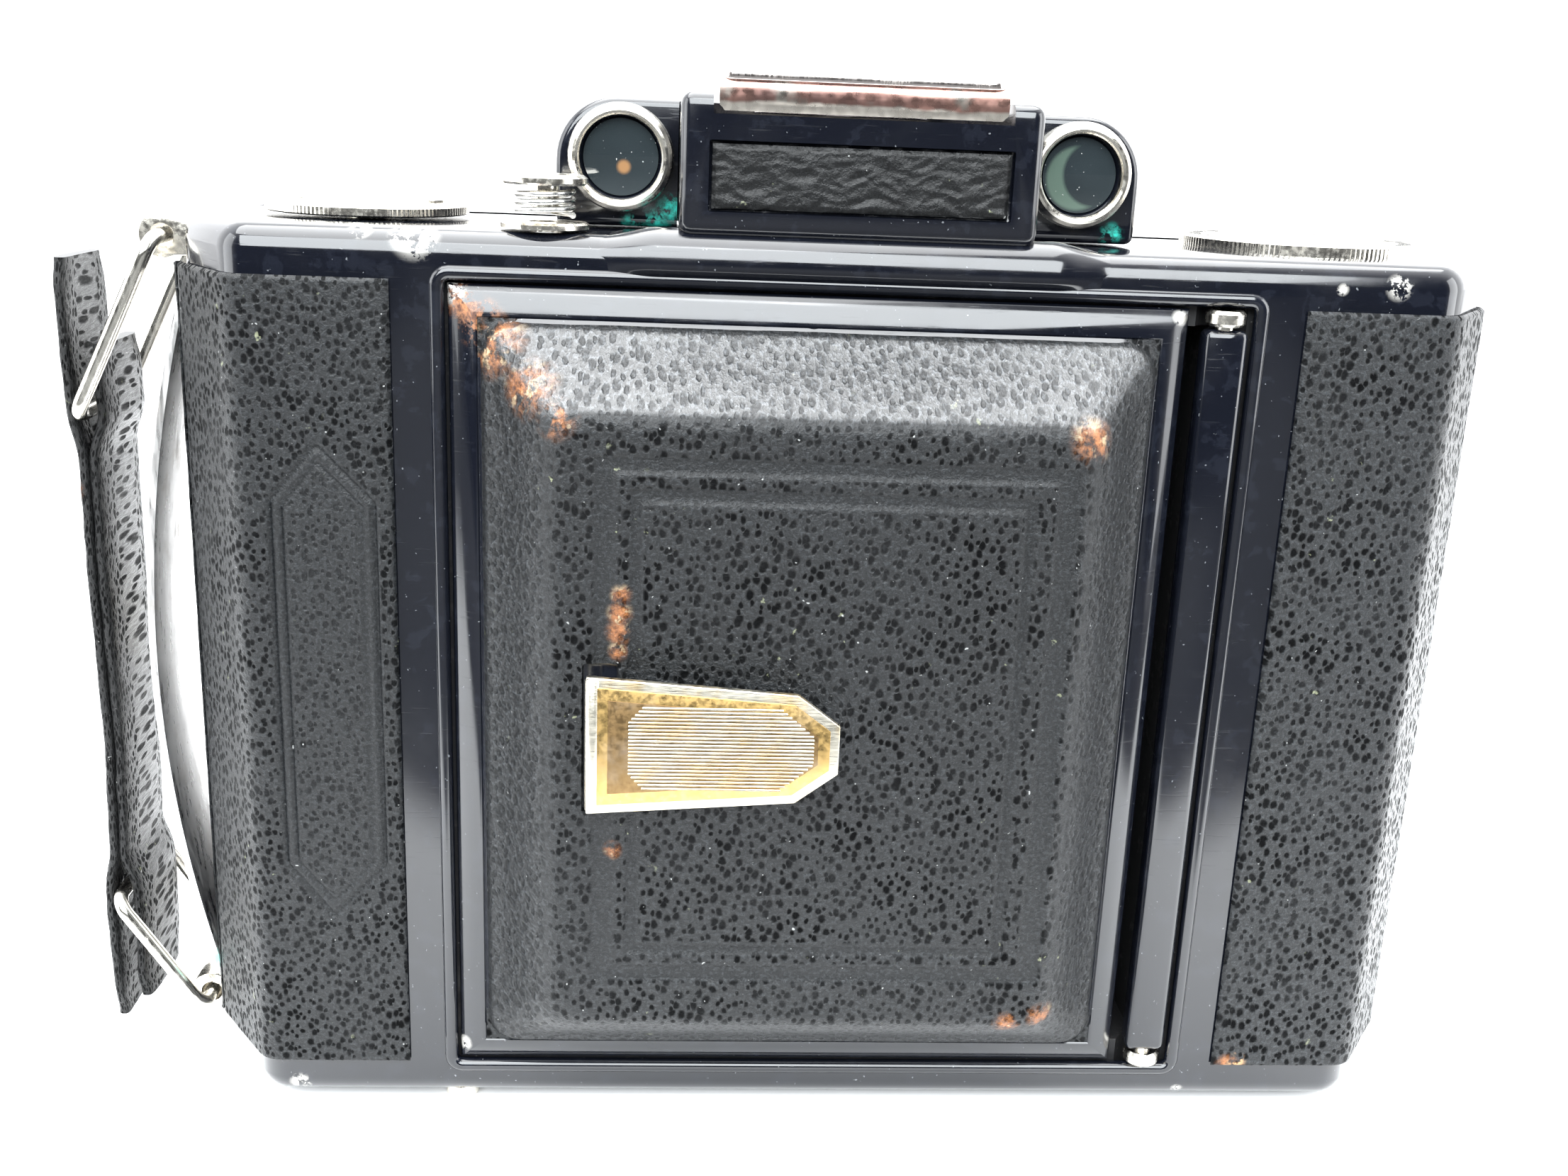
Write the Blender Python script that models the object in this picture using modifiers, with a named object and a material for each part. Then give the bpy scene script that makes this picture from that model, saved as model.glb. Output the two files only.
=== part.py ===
"""Folding roll-film camera, closed and standing on its feet. Metres, +Z up.

The lens side faces -Y and the origin is the middle of the plane it stands on. The front
door swings about a vertical hinge at its right edge and draws the lens standard forward
on two pairs of knee struts. The back cover swings about a hinge on the right side.
"""
import math

import bmesh
import bpy
from mathutils import Vector

MM = 0.001
GAP = 0.3 * MM  # between pieces that rest on or slide past each other

# Body
BODY_W = 129.6 * MM
BODY_H = 91.0 * MM
BODY_D = 39.0 * MM
FOOT_H = 1.4 * MM
WALL = 1.2 * MM
FACET_X = 6.8 * MM
FACET_Y = 9.5 * MM
EDGE_R = 2.2 * MM
SEAM_Y = 10.0 * MM  # joint between the body and the back cover
LEATHER_T = 0.5 * MM
LEATHER_H = 82.0 * MM
LEATHER_X = 43.3 * MM  # from the middle to the inner edge of a front leather panel

# Front recess and door
RECESS_W = 78.1 * MM
RECESS_H = 83.5 * MM
RECESS_DEPTH = 1.6 * MM
DOOR_MARGIN = 1.0 * MM  # round the door's free edges
DOOR_T = 1.0 * MM
DOOR_FRAME = 2.9 * MM  # width of the bevelled enamel frame
DOOR_FRAME_RISE = 1.0 * MM
DOOR_RISE = 9.9 * MM  # raised panel above the body's front
DOOR_SLOPE = 8.6 * MM
SLOPE_STEPS = 6
DOOR_LEATHER_T = 0.6 * MM
HINGE_ZONE = 7.0 * MM  # from the door's hinge edge to the recess's right edge
HINGE_X = 35.6 * MM
HINGE_BAR_W = 4.2 * MM
HINGE_BAR_D = 2.8 * MM
HINGE_PIN_R = 0.9 * MM
HINGE_HEAD_R = 1.9 * MM
HINGE_HEAD_H = 1.5 * MM

# Stand tongue on the door
TONGUE_X = -23.6 * MM
TONGUE_L = 23.0 * MM
TONGUE_W = 13.6 * MM
TONGUE_TIP_W = 4.8 * MM
TONGUE_T = 1.0 * MM
TONGUE_BARREL_R = 0.75 * MM

# Inner body
WELL_W = 70.0 * MM
WELL_H = 78.0 * MM
WELL_WALL = 1.0 * MM
FLANGE_LIP = 6.0 * MM
FLANGE_T = 2.0 * MM
FILM_Y = 12.5 * MM
GATE = 57.0 * MM
SPOOL_X = 48.8 * MM
SPOOL_L = 66.0 * MM

# Lens standard
LENS_X = -2.5 * MM
BOARD_W = 50.0 * MM
BOARD_H = 60.0 * MM
BOARD_T = 1.5 * MM
BOARD_Y = -4.5 * MM  # rear face of the board
SHUTTER_R = 23.0 * MM
SHUTTER_D = 10.0 * MM
RIM_D = 1.2 * MM
MOUNT_R = 13.0 * MM
MOUNT_D = 7.9 * MM
FOCUS_R = 15.0 * MM
FOCUS_D = 5.0 * MM
FOCUS_SET_BACK = 2.5 * MM  # focus ring behind the front of the lens mount
GLASS_R = 9.0 * MM
LEVER_W = 2.4 * MM
LEVER_T = 1.2 * MM
LEVER_L = 5.0 * MM
REAR_CELL_R = 11.0 * MM
REAR_CELL_D = 6.0 * MM

# Range-finder arm on the standard
ARM_X = -22.6 * MM
ARM_Z = 24.6 * MM  # pivot above the lens axis
ARM_L = 25.6 * MM
ARM_W = 4.0 * MM
ARM_T = 1.0 * MM
WEDGE_R = 4.3 * MM
WEDGE_T = 3.0 * MM
WEDGE_WALL = 1.0 * MM

# Knee struts
STRUT_A = 30.0 * MM  # pivot to knee, and knee to tip
STRUT_X = LENS_X - 22.5 * MM
STRUT_Y = -3.5 * MM
STRUT_REST = math.radians(5.0)
STRUT_W = 4.0 * MM
STRUT_T = 0.8 * MM
STRUT_LAYER = 34.0 * MM  # inner face of the tip link from the lens axis
STRUT_PIN_R = 0.9 * MM
TIP_TRAVEL = 4.2 * MM  # free travel of a tip pin in its slot

# Bellows
BELLOWS_W = 56.0 * MM
BELLOWS_H = 58.0 * MM
BELLOWS_T = 4.0 * MM

# Range finder and sight on the top
RF_H = 12.2 * MM
RF_D = 18.0 * MM
RF_FRONT = -8.0 * MM
RF_CORNER_R = 6.0 * MM
WINDOW_H = 6.9 * MM  # above the top plate
WINDOW_RIM_R = 5.15 * MM
WINDOW_R = 4.0 * MM
WINDOW_RIM_D = 2.0 * MM
FINDER_W = 33.6 * MM
WINDOW_X = FINDER_W / 2 + 5.8 * MM
RF_HALF_W = WINDOW_X + 6.4 * MM
FINDER_H = 13.2 * MM
FINDER_REAR = 6.5 * MM
FINDER_NOTCH_W = 27.6 * MM
FINDER_NOTCH_H = 1.9 * MM
INSET_W = 27.6 * MM
INSET_H = 5.8 * MM
INSET_LOW = 2.9 * MM
SIGHT_W = 26.6 * MM
SIGHT_D = 15.0 * MM
SIGHT_LIP = 3.8 * MM
SIGHT_T = 0.8 * MM
REAR_SIGHT_D = 8.0 * MM
EYEPIECE_R = 4.2 * MM
EYEPIECE_D = 2.0 * MM

# Top controls
KNOB_R = 10.2 * MM
KNOB_H = 1.2 * MM
KNOB_SHAFT_R = 2.2 * MM
DIAL_R = 12.3 * MM
DIAL_H = 1.0 * MM
BUTTON_X = -29.4 * MM
BUTTON_Y = -14.8 * MM
BUTTON_R = 4.0 * MM
BUTTON_T = 1.0 * MM
BUTTON_TRAVEL = 1.6 * MM
SPRING_R = 2.6 * MM
SPRING_WIRE_R = 0.3 * MM
SPRING_TURNS = 3
SPRING_STEPS = 10  # points a turn
COLLAR_R = 4.2 * MM
COLLAR_H = 0.6 * MM

# Side plate, strap lugs, rings and strap on the left side
PLATE_T = 0.8 * MM
PLATE_D = 19.0 * MM
PLATE_L = 74.0 * MM
PLATE_BOW = 5.0 * MM
EYE_R = 2.3 * MM
EYE_BORE_R = 1.2 * MM
EYE_OUT = 3.6 * MM  # eye's middle from the body's side
LUG_D = 9.0 * MM
LUG_TAIL = 6.8 * MM
RING_WIRE_R = 0.75 * MM
RING_CORNER_R = 2.0 * MM
STRAP_OUT = 12.2 * MM  # strap's middle from the body's side
STRAP_T = 3.2 * MM
STRAP_W = 13.0 * MM
STRAP_LOW = 1.0 * MM  # strap's lower end above the body's bottom
STRAP_HIGH = 5.0 * MM  # strap's upper end below the body's top
LOOP_R = 2.4 * MM
LOOP_BORE_R = 1.3 * MM
LOOP_SLACK = 2.8 * MM  # how far a ring's bar can slide in its loop
TOP_RING_DROP = 18.0 * MM
BOTTOM_RING_RISE = 13.0 * MM
LATCH_W = 6.0 * MM
LATCH_H = 9.0 * MM
LATCH_T = 1.2 * MM

# Underside
STUD_R = 1.8 * MM
STUD_X = 38.3 * MM
STUD_Y = 16.5 * MM
TRIPOD_W = 36.0 * MM
TRIPOD_D = 17.0 * MM
TRIPOD_BORE_R = 3.2 * MM
TRIPOD_BORE_X = 9.5 * MM

# Back
COVER_HINGE_R = 1.6 * MM
KNUCKLE_END = 12.0 * MM  # from the hinge's ends to the body's
PRESSURE_W = 62.0 * MM
PRESSURE_H = 60.0 * MM
PRESSURE_T = 0.8 * MM
PRESSURE_GAP = 0.5 * MM
LEAF_T = 0.5 * MM
LEAF_W = 12.0 * MM
RUBY_X = 20.0 * MM
RUBY_R = 5.0 * MM
SHUTTLE_W = 9.0 * MM
SHUTTLE_H = 15.0 * MM
SHUTTLE_T = 0.7 * MM

# Heights and planes that follow from the sizes above
BASE = FOOT_H
TOP = BASE + BODY_H
MID_Z = BASE + BODY_H / 2
FRONT = -BODY_D / 2
BACK = BODY_D / 2
SIDE = BODY_W / 2
HINGE_Y = FRONT + 0.4 * MM
DOOR_LEFT = -RECESS_W / 2 + DOOR_MARGIN
DOOR_RIGHT = RECESS_W / 2 - HINGE_ZONE
DOOR_W = DOOR_RIGHT - DOOR_LEFT
DOOR_X = (DOOR_LEFT + DOOR_RIGHT) / 2
DOOR_H = RECESS_H - 2 * DOOR_MARGIN
DOOR_FACE = FRONT - DOOR_RISE
DOOR_LEATHER_FACE = DOOR_FACE - GAP - DOOR_LEATHER_T
TONGUE_Y = DOOR_LEATHER_FACE - GAP - TONGUE_BARREL_R
WELL_FRONT = FRONT + RECESS_DEPTH
BOARD_FRONT = BOARD_Y - BOARD_T
SHUTTER_FRONT = BOARD_FRONT - GAP - SHUTTER_D
RIM_FRONT = SHUTTER_FRONT - GAP - RIM_D
MOUNT_FRONT = RIM_FRONT - MOUNT_D
ARM_Y = RIM_FRONT - 2 * GAP  # rear face of the range-finder arm
EYE_X = -SIDE - EYE_OUT
STRAP_X = -SIDE - STRAP_OUT
FRONTWARD = (math.pi / 2, 0.0, 0.0)  # local +Z points to -Y, local +Y to +Z
BACKWARD = (-math.pi / 2, 0.0, 0.0)


def clear_scene():
    for item in list(bpy.data.objects):
        bpy.data.objects.remove(item, do_unlink=True)


def new_collection(name):
    collection = bpy.data.collections.new(name)
    bpy.context.scene.collection.children.link(collection)
    return collection


clear_scene()
CAMERA = new_collection("folding_camera")
CUTTERS = new_collection("cutters")


def material(name, colour, roughness, metallic=0.0):
    made = bpy.data.materials.new(name)
    made.use_nodes = True
    shader = made.node_tree.nodes["Principled BSDF"]
    shader.inputs["Base Color"].default_value = (*colour, 1.0)
    shader.inputs["Roughness"].default_value = roughness
    shader.inputs["Metallic"].default_value = metallic
    return made


ENAMEL = material("black_enamel", (0.008, 0.009, 0.012), 0.2)
LEATHER = material("black_leather", (0.012, 0.012, 0.014), 0.55)
NICKEL = material("nickel", (0.70, 0.67, 0.60), 0.28, 1.0)
BRASS = material("worn_brass", (0.66, 0.52, 0.28), 0.35, 1.0)
GLASS = material("glass", (0.75, 0.80, 0.78), 0.05)
CLOTH = material("bellows_leather", (0.010, 0.010, 0.010), 0.8)
STEEL = material("steel", (0.45, 0.45, 0.44), 0.35, 1.0)
RUBY = material("ruby_window", (0.30, 0.01, 0.01), 0.15)


# ---------------------------------------------------------------- shape helpers

def add(name, mesh, finish, location=(0, 0, 0), rotation=(0, 0, 0), collection=None):
    made = bpy.data.objects.new(name, mesh)
    (collection or CAMERA).objects.link(made)
    made.location = location
    made.rotation_euler = rotation
    if finish:
        mesh.materials.append(finish)
    return made


def box(name, finish, low, high, bevel=0.0, collection=None):
    """A box between two corners; its origin is its middle."""
    size = Vector(high) - Vector(low)
    shape = bmesh.new()
    bmesh.ops.create_cube(shape, size=1.0)
    bmesh.ops.scale(shape, vec=size, verts=shape.verts)
    mesh = bpy.data.meshes.new(name)
    shape.to_mesh(mesh)
    shape.free()
    made = add(name, mesh, finish, (Vector(low) + Vector(high)) / 2, collection=collection)
    if bevel:
        round_edges(made, bevel)
    return made


def round_edges(item, width, segments=2):
    bevel = item.modifiers.new("edges", "BEVEL")
    bevel.width = width
    bevel.segments = segments
    bevel.limit_method = "ANGLE"
    bevel.angle_limit = math.radians(30)


def turned(name, finish, profile, location, rotation=(0, 0, 0), steps=32, collection=None):
    """A profile of (radius, height) points turned about local Z, listed down its outer side."""
    ring = profile[0][0] > 0 and profile[-1][0] > 0
    mesh = bpy.data.meshes.new(name)
    edges = [(i, i + 1) for i in range(len(profile) - 1)]
    if ring:
        edges.append((len(profile) - 1, 0))
    mesh.from_pydata([(radius, 0.0, height) for radius, height in profile], edges, [])
    made = add(name, mesh, finish, location, rotation, collection)
    screw = made.modifiers.new("turn", "SCREW")
    screw.steps = steps
    screw.render_steps = steps
    screw.use_merge_vertices = True
    screw.merge_threshold = 0.00001
    return made


def disc(radius, low, high, chamfer=0.0):
    """The profile of a solid disc, for turned."""
    if not chamfer:
        return [(0, high), (radius, high), (radius, low), (0, low)]
    return [
        (0, high),
        (radius - chamfer, high),
        (radius, high - chamfer),
        (radius, low),
        (0, low),
    ]


def washer(inner, outer, low, high):
    """The profile of a ring, for turned."""
    return [(inner, high), (outer, high), (outer, low), (inner, low)]


def arc(centre, radius, start, stop, count):
    """Points on an arc; angles in degrees, both ends included."""
    points = []
    for i in range(count + 1):
        angle = math.radians(start + (stop - start) * i / count)
        x = centre[0] + radius * math.cos(angle)
        y = centre[1] + radius * math.sin(angle)
        points.append((x, y))
    return points


def circle(centre, radius, count=16):
    return arc(centre, radius, 0, 360, count)[:-1]


def rectangle(width, height, radius=0.0, centre=(0, 0), count=3):
    """A rectangle's outline, counterclockwise, with round corners if radius is given."""
    half_w = width / 2 - radius
    half_h = height / 2 - radius
    points = []
    for quarter, (sx, sy) in enumerate(((1, 1), (-1, 1), (-1, -1), (1, -1))):
        middle = (centre[0] + sx * half_w, centre[1] + sy * half_h)
        if radius:
            points += arc(middle, radius, 90 * quarter, 90 * quarter + 90, count)
        else:
            points.append(middle)
    return points


def plate(name, finish, outline, thickness, location, rotation=(0, 0, 0), holes=()):
    """A flat outline in local XY, extruded by its thickness about local Z = 0."""
    curve = bpy.data.curves.new(name, "CURVE")
    curve.dimensions = "2D"
    curve.fill_mode = "BOTH"
    curve.extrude = thickness / 2
    for points in (outline, *holes):
        spline = curve.splines.new("POLY")
        spline.points.add(len(points) - 1)
        spline.use_cyclic_u = True
        for point, (x, y) in zip(spline.points, points):
            point.co = (x, y, 0.0, 1.0)
    curve.materials.append(finish or ENAMEL)
    made = bpy.data.objects.new(name, curve)
    CAMERA.objects.link(made)
    made.location = location
    made.rotation_euler = rotation
    return made


def meshed(item):
    """The curve object as a closed mesh object of the same name and place."""
    bpy.context.view_layer.update()
    name = item.name
    mesh = bpy.data.meshes.new_from_object(item.evaluated_get(bpy.context.evaluated_depsgraph_get()))
    shape = bmesh.new()
    shape.from_mesh(mesh)
    bmesh.ops.remove_doubles(shape, verts=shape.verts, dist=0.000001)
    shape.to_mesh(mesh)
    shape.free()
    place = item.matrix_world.copy()
    curve = item.data
    bpy.data.objects.remove(item, do_unlink=True)
    bpy.data.curves.remove(curve)
    made = bpy.data.objects.new(name, mesh)
    CAMERA.objects.link(made)
    made.matrix_world = place
    return made


def wire(name, finish, points, radius, cyclic, location=(0, 0, 0)):
    """A round wire along points."""
    curve = bpy.data.curves.new(name, "CURVE")
    curve.dimensions = "3D"
    curve.bevel_depth = radius
    curve.bevel_resolution = 2
    curve.use_fill_caps = not cyclic
    spline = curve.splines.new("POLY")
    spline.points.add(len(points) - 1)
    spline.use_cyclic_u = cyclic
    for point, place in zip(spline.points, points):
        point.co = (*place, 1.0)
    curve.materials.append(finish)
    made = bpy.data.objects.new(name, curve)
    CAMERA.objects.link(made)
    made.location = location
    return made


def combine(item, other, operation):
    """Cut other from item, or join it on; other becomes a hidden cutter."""
    for collection in list(other.users_collection):
        collection.objects.unlink(other)
    CUTTERS.objects.link(other)
    other.hide_render = True
    other.display_type = "WIRE"
    boolean = item.modifiers.new(operation.lower(), "BOOLEAN")
    boolean.operation = operation
    boolean.solver = "EXACT"
    boolean.object = other
    return item


def cut(item, other):
    return combine(item, other, "DIFFERENCE")


def join(item, other):
    return combine(item, other, "UNION")


def cut_box(item, low, high):
    return cut(item, box(item.name + "_cut", None, low, high))


def cut_bore(item, radius, low, high, x, y):
    """A vertical round hole between two heights."""
    bore = turned(item.name + "_bore", None, disc(radius, low, high), (x, y, 0), steps=20)
    return cut(item, bore)


def offset(outline, distance):
    """A convex counterclockwise outline with each side moved outwards by distance."""
    moved = []
    for i, point in enumerate(outline):
        here = Vector(point)
        before = (here - Vector(outline[i - 1])).normalized()
        after = (Vector(outline[(i + 1) % len(outline)]) - here).normalized()
        out_a = Vector((before.y, -before.x))
        out_b = Vector((after.y, -after.x))
        moved.append(tuple(here + (out_a + out_b) * distance / (1 + out_a.dot(out_b))))
    return moved


def body_outline(grow=0.0):
    """The body seen from above: a rectangle with its corners cut to facets."""
    x, y = SIDE, BODY_D / 2
    right = [(x - FACET_X, -y), (x, -y + FACET_Y), (x, y - FACET_Y), (x - FACET_X, y)]
    left = [(-px, py) for px, py in reversed(right)]
    return offset(right + left, grow)


def prism(name, finish, outline, low, high):
    flat = plate(name, finish, outline, high - low, (0, 0, (low + high) / 2))
    return meshed(flat)


# ---------------------------------------------------------------- body

def body_half(name, keep_front):
    """The outer case on one side of the seam, hollow and open at the seam."""
    case = prism(name, ENAMEL, body_outline(), BASE, TOP)
    round_edges(case, EDGE_R, 3)
    hollow = prism(name + "_hollow", None, body_outline(-WALL), BASE + WALL, TOP - WALL)
    cut(case, hollow)
    seam = SEAM_Y - GAP / 2 if keep_front else SEAM_Y + GAP / 2
    reach = BODY_W
    if keep_front:
        cut_box(case, (-reach, seam, BASE - reach), (reach, reach, TOP + reach))
    else:
        cut_box(case, (-reach, -reach, BASE - reach), (reach, seam, TOP + reach))
    low, high = BASE + KNUCKLE_END, TOP - KNUCKLE_END
    third = (high - low) / 3
    outer_thirds = [(low, low + third), (high - third, high)]
    middle = [(low + third + GAP, high - third - GAP)]
    own, others = (outer_thirds, middle) if keep_front else (middle, outer_thirds)
    for bottom, top in others:
        cut_bore(case, COVER_HINGE_R + GAP, bottom - GAP, top + GAP, SIDE, SEAM_Y)
    for bottom, top in own:
        barrel = disc(COVER_HINGE_R, bottom, top)
        join(case, turned(name + "_knuckle", None, barrel, (SIDE, SEAM_Y, 0), steps=16))
    return case


def make_body_shell():
    shell = body_half("body_shell", True)
    half_w, half_h = RECESS_W / 2, RECESS_H / 2
    cut_box(
        shell,
        (-half_w, FRONT - WALL, MID_Z - half_h),
        (half_w, FRONT + 2 * WALL, MID_Z + half_h),
    )
    cut_bore(shell, KNOB_SHAFT_R + GAP, TOP - 2 * WALL, TOP + WALL, -SPOOL_X, 0)
    cut_bore(shell, KNOB_SHAFT_R + GAP, TOP - 2 * WALL, TOP + WALL, SPOOL_X, 0)
    return shell


def make_inner_body():
    """The well behind the door, with its front flange and the film gate at its back."""
    half_w, half_h = WELL_W / 2, WELL_H / 2
    out_w, out_h = half_w + WELL_WALL, half_h + WELL_WALL
    low = (-out_w, WELL_FRONT, MID_Z - out_h)
    well = box("inner_body", ENAMEL, low, (out_w, FILM_Y, MID_Z + out_h))
    flange = box(
        "flange",
        None,
        (-half_w - FLANGE_LIP, WELL_FRONT, MID_Z - RECESS_H / 2 - 1.5 * MM),
        (half_w + FLANGE_LIP, WELL_FRONT + FLANGE_T, MID_Z + RECESS_H / 2 + 1.5 * MM),
    )
    join(well, flange)
    cut_box(
        well,
        (-half_w, WELL_FRONT - WALL, MID_Z - half_h),
        (half_w, FILM_Y - WELL_WALL, MID_Z + half_h),
    )
    cut_box(
        well,
        (LENS_X - GATE / 2, FILM_Y - 2 * WELL_WALL, MID_Z - GATE / 2),
        (LENS_X + GATE / 2, FILM_Y + WELL_WALL, MID_Z + GATE / 2),
    )
    swing = math.hypot(HINGE_BAR_W / 2, HINGE_BAR_D / 2) + GAP
    trough = turned(
        "hinge_trough",
        None,
        disc(swing, MID_Z - RECESS_H / 2 - MM, MID_Z + RECESS_H / 2 + MM),
        (HINGE_X, HINGE_Y, 0),
        steps=24,
    )
    cut(well, trough)
    for up in (1, -1):
        low = STRUT_LAYER + STRUT_T
        ends = sorted((MID_Z + up * low, MID_Z + up * (half_h + WELL_WALL / 2)))
        post = disc(STRUT_PIN_R, ends[0], ends[1])
        join(well, turned(f"strut_post_{up}", None, post, (STRUT_X, STRUT_Y, 0), steps=12))
    return well


def make_side_leather(name, side, reach_y):
    """Leather from the front strip round the facet and along one side."""
    inner = body_outline(GAP)
    outer = body_outline(GAP + LEATHER_T)
    strip = [
        (LEATHER_X, outer[0][1]),
        outer[0],
        outer[1],
        (outer[1][0], reach_y),
        (inner[1][0], reach_y),
        inner[1],
        inner[0],
        (LEATHER_X, inner[0][1]),
    ]
    if side < 0:
        strip = [(-x, y) for x, y in reversed(strip)]
    return plate(name, LEATHER, strip, LEATHER_H, (0, 0, MID_Z))


# ---------------------------------------------------------------- door

def s_curve(t):
    return t * t * (3 - 2 * t)


def dish(name, finish, rings, thickness):
    """Nested rectangles (inset from the door's edge, y), skinned and thickened inwards."""
    shape = bmesh.new()
    loops = []
    for inset, y in rings:
        radius = 0.4 * MM + 0.25 * inset
        outline = rectangle(DOOR_W - 2 * inset, DOOR_H - 2 * inset, radius, (DOOR_X, MID_Z))
        loops.append([shape.verts.new((x, y, z)) for x, z in outline])
    for ring_a, ring_b in zip(loops, loops[1:]):
        for i in range(len(ring_a)):
            j = (i + 1) % len(ring_a)
            shape.faces.new((ring_a[i], ring_a[j], ring_b[j], ring_b[i]))
    shape.faces.new(loops[-1])
    bmesh.ops.recalc_face_normals(shape, faces=shape.faces)
    if sum(face.normal.y * face.calc_area() for face in shape.faces) > 0:
        bmesh.ops.reverse_faces(shape, faces=shape.faces)
    mesh = bpy.data.meshes.new(name)
    shape.to_mesh(mesh)
    shape.free()
    hinge = Vector((HINGE_X, HINGE_Y, 0))
    for vertex in mesh.vertices:
        vertex.co -= hinge
    made = add(name, mesh, finish, hinge)
    solid = made.modifiers.new("thickness", "SOLIDIFY")
    solid.thickness = thickness
    solid.offset = -1
    return made


def slope_rings(lift=0.0):
    """Rings up the S-shaped slope to the raised panel, moved outwards by lift."""
    profile = []
    for i in range(SLOPE_STEPS + 1):
        t = i / SLOPE_STEPS
        y = FRONT - DOOR_FRAME_RISE - (DOOR_RISE - DOOR_FRAME_RISE) * s_curve(t)
        profile.append(Vector((DOOR_FRAME + DOOR_SLOPE * t, y)))
    rings = []
    for i, point in enumerate(profile):
        along = profile[min(i + 1, SLOPE_STEPS)] - profile[max(i - 1, 0)]
        if i in (0, SLOPE_STEPS):
            along = Vector((1, 0))
        out = Vector((along.y, -along.x)).normalized()
        rings.append(tuple(point + out * lift))
    return rings


def make_door_shell():
    rings = [(0, FRONT + 0.5 * MM), (0.4 * MM, FRONT)]
    return dish("door_shell", ENAMEL, rings + slope_rings(), DOOR_T)


def make_door_leather():
    rings = slope_rings(GAP + DOOR_LEATHER_T)
    return dish("door_leather", LEATHER, rings, DOOR_LEATHER_T)


def make_hinge_bar():
    """Bevelled bar that turns with the door on the hinge pin."""
    half_w, half_d = HINGE_BAR_W / 2, HINGE_BAR_D / 2
    nick = 0.8 * MM
    outline = [
        (half_w, -half_d + nick),
        (half_w, half_d - nick),
        (half_w - nick, half_d),
        (nick - half_w, half_d),
        (-half_w, half_d - nick),
        (-half_w, nick - half_d),
        (nick - half_w, -half_d),
        (half_w - nick, -half_d),
    ]
    length = DOOR_H - 2 * HINGE_HEAD_H - 2 * GAP
    bore = circle((0, 0), HINGE_PIN_R + GAP, 12)
    place = (HINGE_X, HINGE_Y, MID_Z)
    return plate("hinge_bar", ENAMEL, outline, length, place, holes=(bore,))


def make_hinge_pin():
    head, end = DOOR_H / 2 - HINGE_HEAD_H, DOOR_H / 2
    profile = [
        (0, end),
        (HINGE_HEAD_R, end),
        (HINGE_HEAD_R, head),
        (HINGE_PIN_R, head),
        (HINGE_PIN_R, -head),
        (HINGE_HEAD_R, -head),
        (HINGE_HEAD_R, -end),
        (0, -end),
    ]
    place = (HINGE_X, HINGE_Y, MID_Z)
    return turned("hinge_pin", NICKEL, profile, place, steps=16)


def make_tongue():
    """Stand tongue that lies on the raised panel and hinges at its wide end."""
    half, tip = TONGUE_W / 2, TONGUE_TIP_W / 2
    shoulder = TONGUE_L - 4 * MM
    outline = [
        (0, -half),
        (shoulder, -half + 1.4 * MM),
        (TONGUE_L, -tip),
        (TONGUE_L, tip),
        (shoulder, half - 1.4 * MM),
        (0, half),
    ]
    place = (TONGUE_X, TONGUE_Y, MID_Z)
    tongue = meshed(plate("stand_tongue", BRASS, outline, TONGUE_T, place, FRONTWARD))
    barrel = disc(TONGUE_BARREL_R, -half + 0.5 * MM, half - 0.5 * MM)
    return join(tongue, turned("tongue_barrel", None, barrel, place, steps=12))


# ---------------------------------------------------------------- lens standard

def lens_place(y):
    return (LENS_X, y, MID_Z)


def standard_ear(up):
    """A bracket over (up = 1) or under the board, slotted for a strut's tip pin."""
    rest_y = STRUT_Y - 2 * STRUT_A * math.sin(STRUT_REST)
    layer = STRUT_LAYER - GAP
    slot = STRUT_PIN_R + GAP
    half = slot + 1.2 * MM
    front = rest_y - TIP_TRAVEL - half
    heights = sorted((MID_Z + up * (layer - STRUT_T), MID_Z + up * layer))
    ear = box(
        f"ear_{up}",
        None,
        (STRUT_X - half, front, heights[0]),
        (STRUT_X + half, BOARD_Y, heights[1]),
    )
    reach = sorted((MID_Z + up * (BOARD_H / 2 - MM), MID_Z + up * layer))
    post = box(
        f"ear_post_{up}",
        None,
        (STRUT_X - half, BOARD_FRONT, reach[0]),
        (STRUT_X + half, BOARD_Y, reach[1]),
    )
    opening = box(
        f"ear_slot_{up}",
        None,
        (STRUT_X - slot, rest_y - TIP_TRAVEL - slot, heights[0] - MM),
        (STRUT_X + slot, rest_y + slot, heights[1] + MM),
    )
    return ear, post, opening


def make_board():
    outline = rectangle(BOARD_W, BOARD_H, 4 * MM, count=4)
    bore = circle((0, 0), REAR_CELL_R + GAP, 24)
    place = (LENS_X, (BOARD_Y + BOARD_FRONT) / 2, MID_Z)
    board = meshed(plate("standard_board", ENAMEL, outline, BOARD_T, place, FRONTWARD, (bore,)))
    openings = []
    for up in (1, -1):
        ear, post, opening = standard_ear(up)
        join(board, post)
        join(board, ear)
        openings.append(opening)
    bracket = turned(
        "arm_bracket",
        None,
        disc(ARM_W / 2 - 0.5 * MM, -BOARD_T / 2, BOARD_FRONT - ARM_Y - GAP),
        (ARM_X, BOARD_FRONT, MID_Z + ARM_Z),
        FRONTWARD,
        16,
    )
    join(board, bracket)
    for opening in openings:
        cut(board, opening)
    return board


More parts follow.
